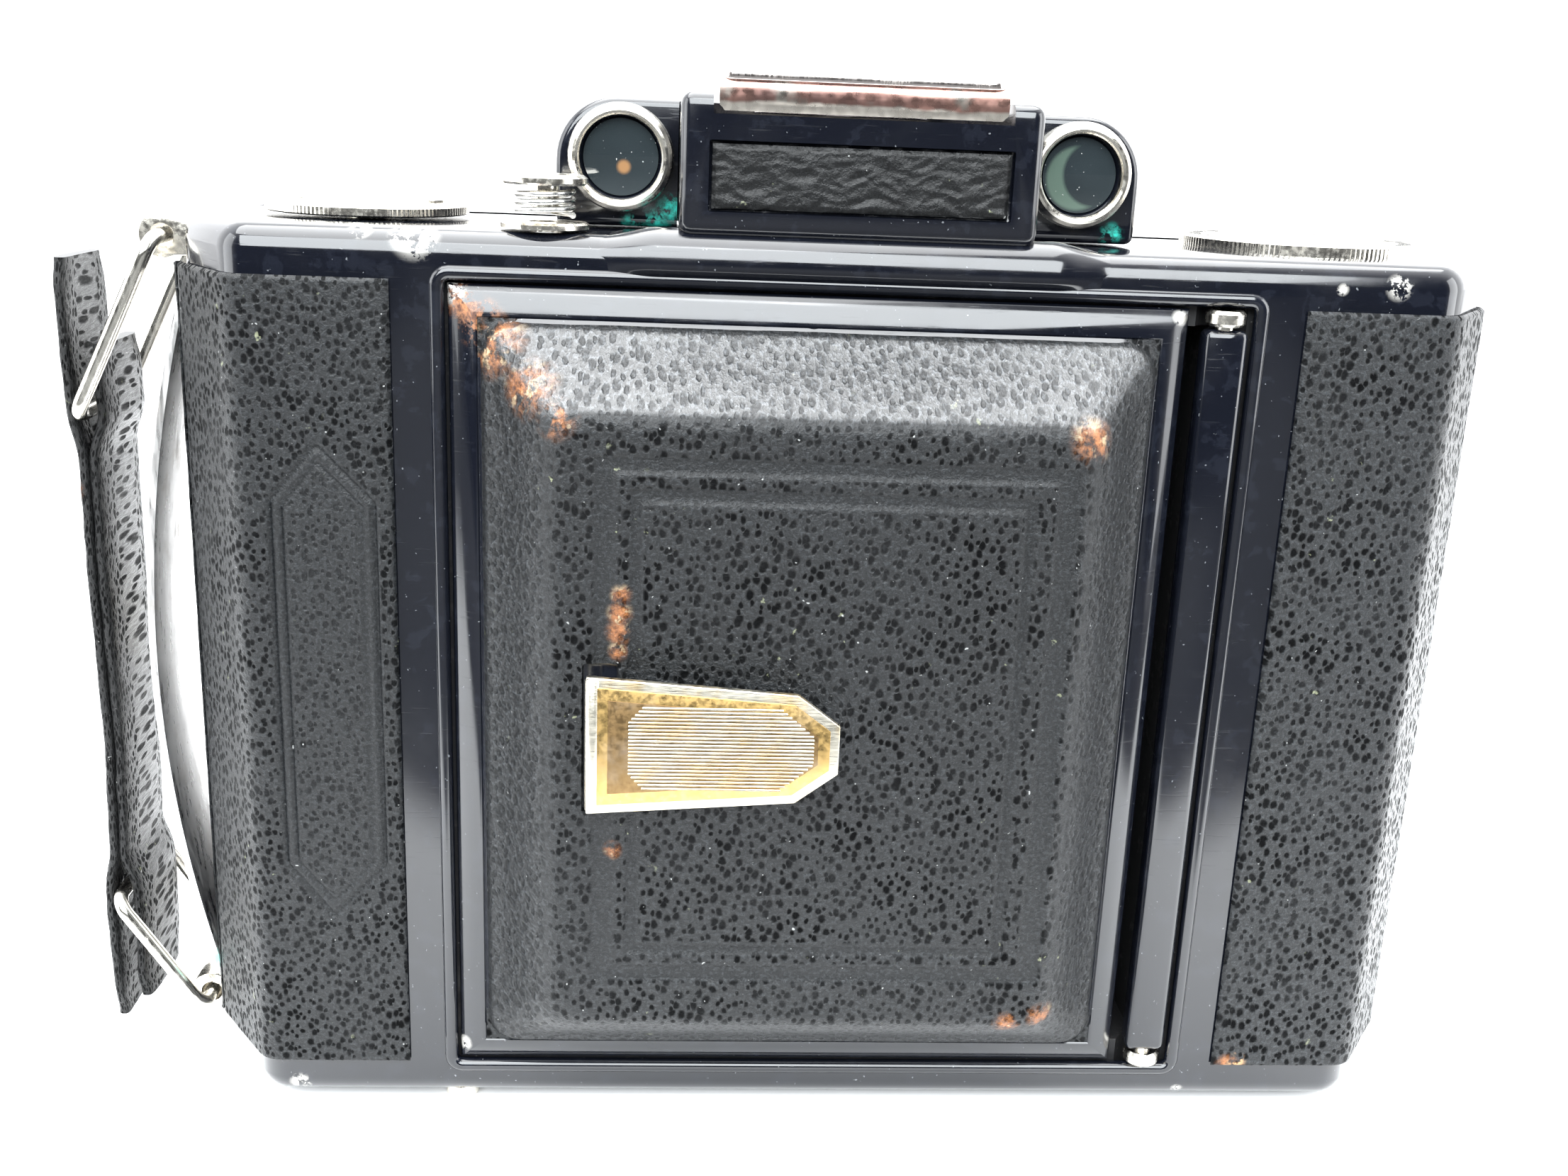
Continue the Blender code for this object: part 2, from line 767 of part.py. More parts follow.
def make_lens_parts():
    chamfer = 1.0 * MM
    turned(
        "shutter_case",
        ENAMEL,
        disc(SHUTTER_R, 0, SHUTTER_D, chamfer),
        lens_place(BOARD_FRONT - GAP),
        FRONTWARD,
        36,
    )
    turned(
        "speed_ring",
        NICKEL,
        washer(MOUNT_R + 2 * GAP, SHUTTER_R - 1.5 * MM, 0, RIM_D),
        lens_place(SHUTTER_FRONT - GAP),
        FRONTWARD,
        32,
    )
    face = GLASS_R + GAP
    cup = MOUNT_D + RIM_D - 3 * MM
    profile = [
        (0, cup),
        (face, cup),
        (face, MOUNT_D + RIM_D),
        (MOUNT_R - 1.5 * MM, MOUNT_D + RIM_D),
        (MOUNT_R - 1.5 * MM, MOUNT_D + RIM_D - FOCUS_SET_BACK),
        (MOUNT_R, MOUNT_D + RIM_D - FOCUS_SET_BACK),
        (MOUNT_R, 0),
        (0, 0),
    ]
    turned("lens_mount", ENAMEL, profile, lens_place(SHUTTER_FRONT - GAP), FRONTWARD, 32)
    turned(
        "focus_ring",
        NICKEL,
        washer(MOUNT_R + GAP, FOCUS_R, 0, FOCUS_D),
        lens_place(MOUNT_FRONT + FOCUS_SET_BACK + FOCUS_D),
        FRONTWARD,
        32,
    )
    dome = [(0, 2.2 * MM), (GLASS_R * 0.6, 1.8 * MM), (GLASS_R, 0.8 * MM), (GLASS_R, 0), (0, 0)]
    turned("front_glass", GLASS, dome, lens_place(MOUNT_FRONT + 3 * MM - 2 * GAP), FRONTWARD, 24)
    cell = [
        (0, REAR_CELL_D),
        (REAR_CELL_R - 2 * MM, REAR_CELL_D),
        (REAR_CELL_R, REAR_CELL_D - 2 * MM),
        (REAR_CELL_R, 0),
        (0, 0),
    ]
    turned("rear_cell", STEEL, cell, lens_place(BOARD_FRONT), BACKWARD, 24)


def make_lever(name, angle, y):
    """A lever that stands out of the shutter's rim at an angle from straight up."""
    inner = SHUTTER_R + GAP
    low = (-LEVER_W / 2, -LEVER_T / 2, inner)
    lever = box(name, NICKEL, low, (LEVER_W / 2, LEVER_T / 2, inner + LEVER_L), 0.3 * MM)
    middle = inner + LEVER_L / 2
    lever.location = lens_place(y)
    lever.rotation_euler = (0, angle, 0)
    for vertex in lever.data.vertices:
        vertex.co.z += middle
    return lever


def make_arm():
    """Range-finder arm: hangs beside the shutter and swings up as the door opens."""
    place = (ARM_X, ARM_Y - ARM_T / 2, MID_Z + ARM_Z)
    half = ARM_W / 2
    outline = arc((0, 0), half, 0, 180, 6)
    end = WEDGE_R - WEDGE_WALL / 2 - ARM_L
    outline += [(-half, end), (half, end)]
    arm = meshed(plate("rf_arm", NICKEL, outline, ARM_T, place, FRONTWARD))
    housing = turned(
        "wedge_ring",
        None,
        disc(WEDGE_R, -ARM_T / 2, WEDGE_T),
        (ARM_X, ARM_Y - ARM_T / 2, MID_Z + ARM_Z - ARM_L),
        FRONTWARD,
        20,
    )
    join(arm, housing)
    bore = turned(
        "wedge_bore",
        None,
        disc(WEDGE_R - WEDGE_WALL, -MM, 2 * WEDGE_T),
        (ARM_X, ARM_Y - ARM_T / 2, MID_Z + ARM_Z - ARM_L),
        FRONTWARD,
        20,
    )
    cut(arm, bore)
    turned(
        "rf_wedge_glass",
        GLASS,
        disc(WEDGE_R - WEDGE_WALL - GAP, 0, WEDGE_T - MM),
        (ARM_X, ARM_Y - ARM_T / 2, MID_Z + ARM_Z - ARM_L),
        FRONTWARD,
        20,
    )
    return arm


def make_strut_pair(side, up):
    """Knee linkage over (up = 1) or under the standard: a root link and a tip link."""
    root = Vector((STRUT_X, STRUT_Y, 0))
    reach = Vector((math.cos(STRUT_REST), -math.sin(STRUT_REST), 0)) * STRUT_A
    knee = root + reach
    inner = STRUT_LAYER
    outer = STRUT_LAYER + STRUT_T + GAP
    half = STRUT_W / 2

    def link(name, start, angle, layer, bores):
        outline = arc((STRUT_A, 0), half, -90, 90, 6) + arc((0, 0), half, 90, 270, 6)
        height = MID_Z + up * (layer + STRUT_T / 2)
        holes = [circle((x, 0), STRUT_PIN_R + GAP, 12) for x in bores]
        place = (start.x, start.y, height)
        return meshed(plate(name, STEEL, outline, STRUT_T, place, (0, 0, angle), holes))

    def pin(item, where, low, high):
        ends = sorted((MID_Z + up * low, MID_Z + up * high))
        rod = turned("pin", None, disc(STRUT_PIN_R, ends[0], ends[1]), (where.x, where.y, 0), steps=12)
        return join(item, rod)

    root_link = link(f"strut_root_{side}", root, -STRUT_REST, outer, (0,))
    pin(root_link, knee, inner - GAP, outer + STRUT_T / 2)
    tip_link = link(f"strut_tip_{side}", knee, math.pi + STRUT_REST, inner, (0,))
    tip = Vector((STRUT_X, STRUT_Y - 2 * STRUT_A * math.sin(STRUT_REST), 0))
    pin(tip_link, tip, inner - GAP - STRUT_T - GAP, inner + STRUT_T / 2)
    return root_link, tip_link


def make_bellows():
    outline = rectangle(BELLOWS_W, BELLOWS_H)
    inner = rectangle(BELLOWS_W - 2 * BELLOWS_T, BELLOWS_H - 2 * BELLOWS_T)
    front, rear = BOARD_Y + GAP, FILM_Y - WELL_WALL - GAP
    place = (LENS_X, (front + rear) / 2, MID_Z)
    return plate("bellows", CLOTH, outline, rear - front, place, FRONTWARD, (inner,))


# ---------------------------------------------------------------- top

def make_rf_housing():
    """Two round-shouldered lobes joined by a bridge behind the finder box."""
    outline = [(RF_HALF_W, 0.0)]
    outline += arc((RF_HALF_W - RF_CORNER_R, RF_H - RF_CORNER_R), RF_CORNER_R, 0, 90, 5)
    outline += arc((RF_CORNER_R - RF_HALF_W, RF_H - RF_CORNER_R), RF_CORNER_R, 90, 180, 5)
    outline.append((-RF_HALF_W, 0.0))
    place = (0, RF_FRONT + RF_D / 2, TOP + GAP)
    housing = meshed(plate("rf_housing", ENAMEL, outline, RF_D, place, FRONTWARD))
    round_edges(housing, 0.8 * MM)
    half = FINDER_W / 2 + GAP
    return cut_box(
        housing,
        (-half, RF_FRONT - MM, TOP),
        (half, FINDER_REAR + GAP, TOP + 2 * RF_H),
    )


def make_finder_box():
    half = FINDER_W / 2
    box_top = TOP + FINDER_H
    finder = box(
        "finder_box",
        ENAMEL,
        (-half, FRONT, TOP + GAP),
        (half, FINDER_REAR, box_top),
        1.2 * MM,
    )
    notch = FINDER_NOTCH_W / 2
    floor = box_top - FINDER_NOTCH_H
    cut_box(finder, (-notch, FRONT - MM, floor), (notch, BACK, box_top + MM))
    inset = INSET_W / 2 + GAP
    low = TOP + INSET_LOW - GAP
    cut_box(
        finder,
        (-inset, FRONT - MM, low),
        (inset, FRONT + 0.8 * MM, low + INSET_H + 2 * GAP),
    )
    return finder


def make_finder_leather():
    low = (-INSET_W / 2, FRONT, TOP + INSET_LOW)
    high = (INSET_W / 2, FRONT + 0.5 * MM, TOP + INSET_LOW + INSET_H)
    return box("finder_leather", LEATHER, low, high)


def make_window(side, name):
    front = RF_FRONT - GAP
    place = (side * WINDOW_X, front, TOP + WINDOW_H)
    rim = [
        (WINDOW_R, WINDOW_RIM_D),
        (WINDOW_RIM_R - 0.4 * MM, WINDOW_RIM_D),
        (WINDOW_RIM_R, WINDOW_RIM_D - 0.4 * MM),
        (WINDOW_RIM_R, 0),
        (WINDOW_R, 0),
    ]
    turned("rf_rim_" + name, NICKEL, rim, place, FRONTWARD, 28)
    pane = disc(WINDOW_R - GAP, 0.2 * MM, 0.9 * MM)
    turned("rf_window_" + name, GLASS, pane, place, FRONTWARD, 24)


def make_eyepiece(name, x):
    """A round eyepiece on the rear face of the range finder or of the finder box."""
    face = RF_FRONT + RF_D + GAP
    rim = washer(EYEPIECE_R - 1.5 * MM, EYEPIECE_R, 0, EYEPIECE_D)
    return turned(name, NICKEL, rim, (x, face, TOP + WINDOW_H), BACKWARD, 20)


def make_front_sight():
    """Sight frame folded back over the box, with a lip in the front notch."""
    level = TOP + FINDER_H - FINDER_NOTCH_H + SIGHT_LIP
    front = FRONT + 0.3 * MM
    outline = rectangle(SIGHT_W, SIGHT_D, 1.6 * MM, (0, SIGHT_D / 2))
    opening = rectangle(SIGHT_W - 5 * MM, SIGHT_D - 5 * MM, MM, (0, SIGHT_D / 2 + 0.5 * MM))
    place = (0, front, level - SIGHT_T / 2)
    frame = meshed(plate("front_sight", NICKEL, outline, SIGHT_T, place, holes=(opening,)))
    lip = box(
        "sight_lip",
        None,
        (-SIGHT_W / 2 + 1.2 * MM, front, level - SIGHT_LIP + GAP),
        (SIGHT_W / 2 - 1.2 * MM, front + SIGHT_T, level - SIGHT_T / 2),
    )
    return join(frame, lip)


def make_rear_sight():
    level = TOP + FINDER_H - FINDER_NOTCH_H + SIGHT_LIP
    rear = FINDER_REAR - 0.3 * MM
    outline = rectangle(SIGHT_W - 4 * MM, REAR_SIGHT_D, 1.2 * MM, (0, -REAR_SIGHT_D / 2))
    eye = circle((0, -REAR_SIGHT_D / 2), 2 * MM)
    place = (0, rear, level - SIGHT_T / 2)
    frame = meshed(plate("rear_sight", NICKEL, outline, SIGHT_T, place, holes=(eye,)))
    foot = box(
        "sight_foot",
        None,
        (-SIGHT_W / 2 + 4 * MM, rear - SIGHT_T, level - SIGHT_LIP + GAP),
        (SIGHT_W / 2 - 4 * MM, rear, level - SIGHT_T / 2),
    )
    return join(frame, foot)


def make_knob():
    low = TOP + GAP
    key = MID_Z + SPOOL_L / 2 - 3 * MM
    profile = [
        (0, low + KNOB_H),
        (KNOB_R - 0.4 * MM, low + KNOB_H),
        (KNOB_R, low + KNOB_H - 0.4 * MM),
        (KNOB_R, low),
        (KNOB_SHAFT_R, low),
        (KNOB_SHAFT_R, key),
        (0, key),
    ]
    knob = turned("wind_knob", NICKEL, profile, (-SPOOL_X, 0, 0), steps=40)
    half = KNOB_R * 0.78
    well = box(
        "grip_well",
        None,
        (-SPOOL_X - half - GAP, -2.4 * MM - GAP, low + 0.3 * MM),
        (-SPOOL_X + half + GAP, 2.4 * MM + GAP, low + 2 * KNOB_H),
    )
    cut(knob, well)
    floor = low + 0.3 * MM + GAP
    grip = box(
        "wind_grip",
        NICKEL,
        (-SPOOL_X - half, -2.4 * MM, floor),
        (-SPOOL_X + half, 2.4 * MM, floor + 0.9 * MM),
    )
    return knob, grip


def make_dial():
    """Depth-of-field dial with a small pointer at its right edge."""
    low = TOP + GAP
    shaft = TOP - 2 * WALL
    profile = [
        (0, low + DIAL_H),
        (DIAL_R - 0.3 * MM, low + DIAL_H),
        (DIAL_R, low + DIAL_H - 0.3 * MM),
        (DIAL_R, low),
        (KNOB_SHAFT_R, low),
        (KNOB_SHAFT_R, shaft),
        (0, shaft),
    ]
    return turned("depth_dial", NICKEL, profile, (SPOOL_X, 0, 0), steps=40)


def make_release():
    low = TOP + GAP
    seat = low + COLLAR_H
    collar = washer(MM + GAP, COLLAR_R, low, seat)
    turned("release_collar", NICKEL, collar, (BUTTON_X, BUTTON_Y, 0), steps=20)
    spring_low = seat + GAP + SPRING_WIRE_R
    rise = BUTTON_TRAVEL + 0.6 * MM
    count = SPRING_TURNS * SPRING_STEPS
    points = []
    for i in range(count + 1):
        angle = 2 * math.pi * i / SPRING_STEPS
        x = SPRING_R * math.cos(angle)
        y = SPRING_R * math.sin(angle)
        points.append((x, y, spring_low + rise * i / count))
    wire("release_spring", STEEL, points, SPRING_WIRE_R, False, (BUTTON_X, BUTTON_Y, 0))
    cap = spring_low + rise + SPRING_WIRE_R + GAP
    profile = [
        (0, cap + BUTTON_T),
        (BUTTON_R - 0.3 * MM, cap + BUTTON_T),
        (BUTTON_R, cap + BUTTON_T - 0.3 * MM),
        (BUTTON_R, cap),
        (MM, cap),
        (MM, low + GAP + BUTTON_TRAVEL),
        (0, low + GAP + BUTTON_TRAVEL),
    ]
    turned("release_button", NICKEL, profile, (BUTTON_X, BUTTON_Y, 0), steps=24)


# ---------------------------------------------------------------- left side

def make_side_plate():
    """Bowed plate over the body's left side."""
    inner, count = [], 12
    for i in range(count + 1):
        t = 2 * i / count - 1
        out = GAP + PLATE_BOW * (1 - t * t)
        inner.append((-SIDE - out, t * PLATE_L / 2))
    outer = [(x - PLATE_T, z) for x, z in reversed(inner)]
    return plate("side_plate", NICKEL, inner + outer, PLATE_D, (0, 0, MID_Z), FRONTWARD)


def eye_height(up):
    """Height of a strap lug's eye near the top (up = 1) or the bottom of the body."""
    if up > 0:
        return TOP - 2.5 * MM
    return BASE + 3.6 * MM


def make_lug(name, up):
    """A band rolled round the ring's wire, with a tail on the body's side."""
    x, z = EYE_X, eye_height(up)
    back = -SIDE - GAP
    tail = back - MM
    outline = [(tail, z - up * EYE_R), (tail, z - up * (LUG_TAIL - EYE_R))]
    outline += [(back, z - up * (LUG_TAIL - EYE_R)), (back, z + up * EYE_R)]
    outline += arc((x, z), EYE_R, up * 90, up * 270, 10)
    if up < 0:
        outline.reverse()
    bore = circle((x, z), EYE_BORE_R, 12)
    return plate(name, NICKEL, outline, LUG_D, (0, 0, 0), FRONTWARD, (bore,))


def ring_far_height(up):
    """Height of a ring's bar in the strap."""
    if up > 0:
        return eye_height(up) - TOP_RING_DROP
    return eye_height(up) + BOTTOM_RING_RISE


def make_ring(name, up):
    """A rectangular wire ring from the lug's eye to the strap's loop."""
    near = Vector((EYE_X, 0, eye_height(up)))
    far = Vector((STRAP_X, 0, ring_far_height(up)))
    reach = (far - near).length
    along = (far - near).normalized()
    width = STRAP_W + 2 * RING_WIRE_R + 4 * GAP
    outline = rectangle(width, reach, RING_CORNER_R, (0, reach / 2), 4)
    points = [along * v + Vector((0, u, 0)) for u, v in outline]
    return wire(name, NICKEL, points, RING_WIRE_R, True, near)


def loop_outline(radius, up):
    """A slot from a ring's bar towards the strap's end."""
    near = ring_far_height(up)
    far = near + up * LOOP_SLACK
    high = (STRAP_X, max(near, far))
    low = (STRAP_X, min(near, far))
    return arc(high, radius, 0, 180, 8) + arc(low, radius, 180, 360, 8)


def make_strap():
    """Carrying strap with a loop round each ring's bar."""
    low = BASE + STRAP_LOW
    high = TOP - STRAP_HIGH
    half = STRAP_T / 2
    strap = [(STRAP_X + half, low), (STRAP_X + half, high)]
    strap += [(STRAP_X - half, high), (STRAP_X - half, low)]
    item = meshed(plate("strap", LEATHER, strap, STRAP_W, (0, 0, 0), FRONTWARD))
    for up in (1, -1):
        outline = loop_outline(LOOP_R, up)
        width = STRAP_W - 2 * GAP
        join(item, meshed(plate("loop", None, outline, width, (0, 0, 0), FRONTWARD)))
    for up in (1, -1):
        outline = loop_outline(LOOP_BORE_R, up)
        cut(item, meshed(plate("bore", None, outline, 2 * STRAP_W, (0, 0, 0), FRONTWARD)))
    return item


def make_latch():
    """Sliding catch of the back cover, on the bowed plate."""
    x = -SIDE - GAP - PLATE_BOW - PLATE_T - GAP
    y = PLATE_D / 2 - LATCH_W - MM
    return box(
        "back_latch",
        STEEL,
        (x - LATCH_T, y, MID_Z - LATCH_H / 2),
        (x, y + LATCH_W, MID_Z + LATCH_H / 2),
        0.3 * MM,
    )


# ---------------------------------------------------------------- underside and back

def make_underside():
    for name, x, y in (
        ("foot_front", -STUD_X, -STUD_Y),
        ("foot_rear_left", -STUD_X, SEAM_Y - 3 * MM),
        ("foot_rear_right", STUD_X, SEAM_Y - 3 * MM),
    ):
        stud = disc(STUD_R, 0, FOOT_H - GAP)
        turned(name, NICKEL, stud, (x, y, 0), steps=16)
    outline = rectangle(TRIPOD_W, TRIPOD_D, 5 * MM, count=4)
    bore = circle((TRIPOD_BORE_X, 0), TRIPOD_BORE_R, 20)
    thick = FOOT_H - GAP
    return plate("base_plate", NICKEL, outline, thick, (0, 0, thick / 2), holes=(bore,))


def make_back():
    cover = body_half("back_cover", False)
    port = turned(
        "ruby_port",
        None,
        disc(RUBY_R, -3 * WALL, 3 * WALL),
        (RUBY_X, BACK, MID_Z),
        BACKWARD,
        24,
    )
    cut(cover, port)
    half = BODY_W / 2 - FACET_X
    outline = rectangle(2 * half, LEATHER_H, MM)
    hole = circle((RUBY_X, 0), RUBY_R, 24)
    place = (0, BACK + GAP + LEATHER_T / 2, MID_Z)
    plate("back_leather", LEATHER, outline, LEATHER_T, place, FRONTWARD, (hole,))
    turned(
        "ruby_window",
        RUBY,
        disc(RUBY_R - GAP, -WALL, 0),
        (RUBY_X, BACK, MID_Z),
        BACKWARD,
        24,
    )
    outline = rectangle(SHUTTLE_W + 4 * MM, SHUTTLE_H, 1.5 * MM)
    face = BACK + GAP + LEATHER_T + GAP
    place = (RUBY_X, face + SHUTTLE_T / 2, MID_Z)
    plate("window_cover", ENAMEL, outline, SHUTTLE_T, place, FRONTWARD)
    outline = rectangle(PRESSURE_W, PRESSURE_H, 3 * MM)
    place = (LENS_X, FILM_Y + PRESSURE_GAP + PRESSURE_T / 2, MID_Z)
    plate("pressure_plate", STEEL, outline, PRESSURE_T, place, FRONTWARD)
    low_y = FILM_Y + PRESSURE_GAP + PRESSURE_T + GAP
    high_y = BACK - WALL - GAP
    foot, tip = PRESSURE_W / 4, PRESSURE_W / 2 - 4 * MM
    leaf = [(foot, low_y), (tip, high_y - LEAF_T), (tip, high_y), (tip - MM, high_y)]
    leaf.append((foot - MM, low_y + LEAF_T))
    outline = leaf + [(-x, y) for x, y in reversed(leaf)]
    plate("pressure_spring", STEEL, outline, LEAF_W, (LENS_X, 0, MID_Z))


# ---------------------------------------------------------------- assembly

def main():
    make_body_shell()
    make_inner_body()
    make_side_leather("leather_left", -1, -PLATE_D / 2 - GAP)
    make_side_leather("leather_right", 1, SEAM_Y - COVER_HINGE_R - 2 * GAP)
    make_door_shell()
    make_door_leather()
    make_hinge_bar()
    make_hinge_pin()
    make_tongue()
    make_board()
    make_lens_parts()
    make_lever("cocking_lever", math.radians(-35), BOARD_FRONT - 0.35 * SHUTTER_D)
    make_lever("release_lever", math.radians(40), BOARD_FRONT - 0.35 * SHUTTER_D)
    make_lever("aperture_lever", math.radians(160), BOARD_FRONT - 0.7 * SHUTTER_D)
    make_arm()
    make_strut_pair("top", 1)
    make_strut_pair("bottom", -1)
    make_bellows()
    make_rf_housing()
    make_finder_box()
    make_finder_leather()
    make_window(-1, "left")
    make_window(1, "right")
    make_eyepiece("rf_eyepiece", -WINDOW_X)
    make_front_sight()
    make_rear_sight()
    make_knob()
    make_dial()
    make_release()
    make_side_plate()
    make_lug("lug_top", 1)
    make_lug("lug_bottom", -1)
    make_ring("ring_top", 1)
    make_ring("ring_bottom", -1)
    make_strap()
    make_latch()
    make_underside()
    make_back()


main()
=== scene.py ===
"""Looks of the folding camera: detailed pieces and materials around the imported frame."""
import math

import bmesh
import bpy
from mathutils import Matrix, Vector, noise


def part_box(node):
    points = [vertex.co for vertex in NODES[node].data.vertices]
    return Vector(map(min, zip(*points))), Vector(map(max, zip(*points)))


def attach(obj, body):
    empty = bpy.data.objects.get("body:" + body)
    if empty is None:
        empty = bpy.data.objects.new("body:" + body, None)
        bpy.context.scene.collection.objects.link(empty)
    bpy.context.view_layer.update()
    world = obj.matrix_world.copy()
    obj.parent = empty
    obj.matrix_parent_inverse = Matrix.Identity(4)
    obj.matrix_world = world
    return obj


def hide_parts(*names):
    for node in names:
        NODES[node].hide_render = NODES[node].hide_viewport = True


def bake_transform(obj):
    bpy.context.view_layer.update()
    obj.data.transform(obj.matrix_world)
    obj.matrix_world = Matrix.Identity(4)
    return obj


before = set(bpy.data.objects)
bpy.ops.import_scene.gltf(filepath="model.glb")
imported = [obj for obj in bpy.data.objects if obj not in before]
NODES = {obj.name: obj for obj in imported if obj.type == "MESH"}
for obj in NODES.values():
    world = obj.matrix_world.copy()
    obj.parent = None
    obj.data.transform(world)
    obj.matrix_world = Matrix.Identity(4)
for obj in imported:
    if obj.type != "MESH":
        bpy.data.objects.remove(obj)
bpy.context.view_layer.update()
MM = 0.001

# ---------------------------------------------------------------- planes read from the frame
shell_low, shell_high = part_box("body_shell")
cover_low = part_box("back_cover")[0]
door_low, door_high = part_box("door_shell")
panel_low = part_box("door_leather")[0]
pin_low, pin_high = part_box("hinge_pin")
case_low, case_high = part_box("shutter_case")
BASE, TOP = shell_low.z, shell_high.z
FRONT, SEAM_FRONT = shell_low.y, shell_high.y
SIDE = -shell_low.x
MID_Z = (BASE + TOP) / 2
LENS = Vector(((case_low.x + case_high.x) / 2, 0, (case_low.z + case_high.z) / 2))
SHUTTER_R = (case_high.x - case_low.x) / 2

# ---------------------------------------------------------------- sizes shared by several pieces
BACK_HINGE_Y = 10.0 * MM  # the back hinge's axis
FACET_X, FACET_Y = 6.8 * MM, 9.5 * MM
EDGE_R = 2.2 * MM
WALL = 1.2 * MM
RECESS_W, RECESS_H = 78.1 * MM, 83.5 * MM
DOOR_FRAME, DOOR_FRAME_RISE, DOOR_SLOPE = 2.9 * MM, 1.0 * MM, 8.6 * MM
MITRE = 3.4 * MM  # width over which the door's mitres are softened
FINE = 0.26 * MM  # mesh step of the leather
COVER_T = 0.4 * MM  # thickness of the leather
EYE_R = 2.3 * MM  # outer radius of a strap lug's eye
REACH = 0.3  # past everything, for cutting away a half


# ---------------------------------------------------------------- shader helpers

def mm(*values):
    return tuple(value * MM for value in values)


class Nodes:
    """Short way to build one material's node tree."""

    def __init__(self, name):
        self.material = bpy.data.materials.new(name)
        self.material.use_nodes = True
        self.tree = self.material.node_tree
        self.shader = self.tree.nodes["Principled BSDF"]
        self.place = self.node("ShaderNodeTexCoord").outputs["Object"]

    def node(self, kind, inputs=None, **settings):
        """A new node; each of its inputs is a value or another node's output."""
        made = self.tree.nodes.new(kind)
        for key, value in settings.items():
            setattr(made, key, value)
        for key, value in (inputs or {}).items():
            self.feed(made.inputs[key], value)
        return made

    def feed(self, socket, value):
        if hasattr(value, "is_output"):
            self.tree.links.new(value, socket)
        else:
            socket.default_value = value

    def scaled(self, factors):
        inputs = {"Scale": factors, "Vector": self.place}
        return self.node("ShaderNodeMapping", inputs).outputs["Vector"]

    def noise(self, scale, detail=3.0, rough=0.5, vector=None):
        inputs = {"Scale": scale, "Detail": detail, "Roughness": rough}
        inputs["Vector"] = vector or self.place
        return self.node("ShaderNodeTexNoise", inputs).outputs["Fac"]

    def math(self, operation, a, b):
        return self.node("ShaderNodeMath", {0: a, 1: b}, operation=operation).outputs[0]

    def times(self, a, b):
        return self.math("MULTIPLY", a, b)

    def plus(self, a, b):
        return self.math("ADD", a, b)

    def minus(self, a, b):
        return self.math("SUBTRACT", a, b)

    def step(self, value, low, high, out_low=0.0, out_high=1.0):
        """A smooth step from out_low to out_high as the value goes from low to high."""
        inputs = {"Value": value, "From Min": low, "From Max": high}
        inputs.update({"To Min": out_low, "To Max": out_high})
        made = self.node("ShaderNodeMapRange", inputs, interpolation_type="SMOOTHSTEP")
        return made.outputs["Result"]

    def blend(self, factor, a, b, share=None):
        """Colour from a to b; share weakens the factor."""
        if share:
            factor = self.times(factor, share)
        ends = {"A": a, "B": b}
        ends = {key: (*c, 1.0) if isinstance(c, tuple) else c for key, c in ends.items()}
        made = self.node("ShaderNodeMix", {"Factor": factor, **ends}, data_type="RGBA")
        return made.outputs["Result"]

    def mixed(self, factor, a, b):
        made = self.node("ShaderNodeMix", {"Factor": factor, "A": a, "B": b}, data_type="FLOAT")
        return made.outputs["Result"]

    def near(self, point, radius, soft):
        """1 close to a point of the object, falling to 0 at radius + soft."""
        made = self.node("ShaderNodeVectorMath", {0: self.place, 1: point}, operation="DISTANCE")
        return self.step(made.outputs["Value"], radius, radius + soft, 1.0, 0.0)

    def spots(self, marks, core=0.2, soft=1.0):
        """1 in any of the marks, each a point and a radius, and 0 away from them."""
        total = 0.0
        for point, radius in marks:
            total = self.math("MAXIMUM", total, self.near(point, radius * core, radius * soft))
        return total

    def axis(self, name):
        return self.node("ShaderNodeSeparateXYZ", {0: self.place}).outputs[name]

    def bump(self, height, distance, strength=1.0):
        inputs = {"Strength": strength, "Distance": distance, "Height": height}
        return self.node("ShaderNodeBump", inputs).outputs["Normal"]

    def finish(self, colour, roughness, normal=None, metallic=0.0, **fixed):
        if isinstance(colour, tuple):
            colour = (*colour, 1.0)
        self.feed(self.shader.inputs["Base Color"], colour)
        self.feed(self.shader.inputs["Roughness"], roughness)
        self.feed(self.shader.inputs["Metallic"], metallic)
        if normal:
            self.feed(self.shader.inputs["Normal"], normal)
        for key, value in fixed.items():
            self.shader.inputs[key.replace("_", " ")].default_value = value
        return self.material


RUST_SHADES = ((0.06, 0.018, 0.008), (0.36, 0.15, 0.06))
VERDIGRIS = ((0.0, 0.10, 0.08), (0.01, 0.42, 0.34))
BLACK_GLOSS = (0.0035, 0.0042, 0.0070)
PALE_NICKEL = (0.80, 0.76, 0.68)


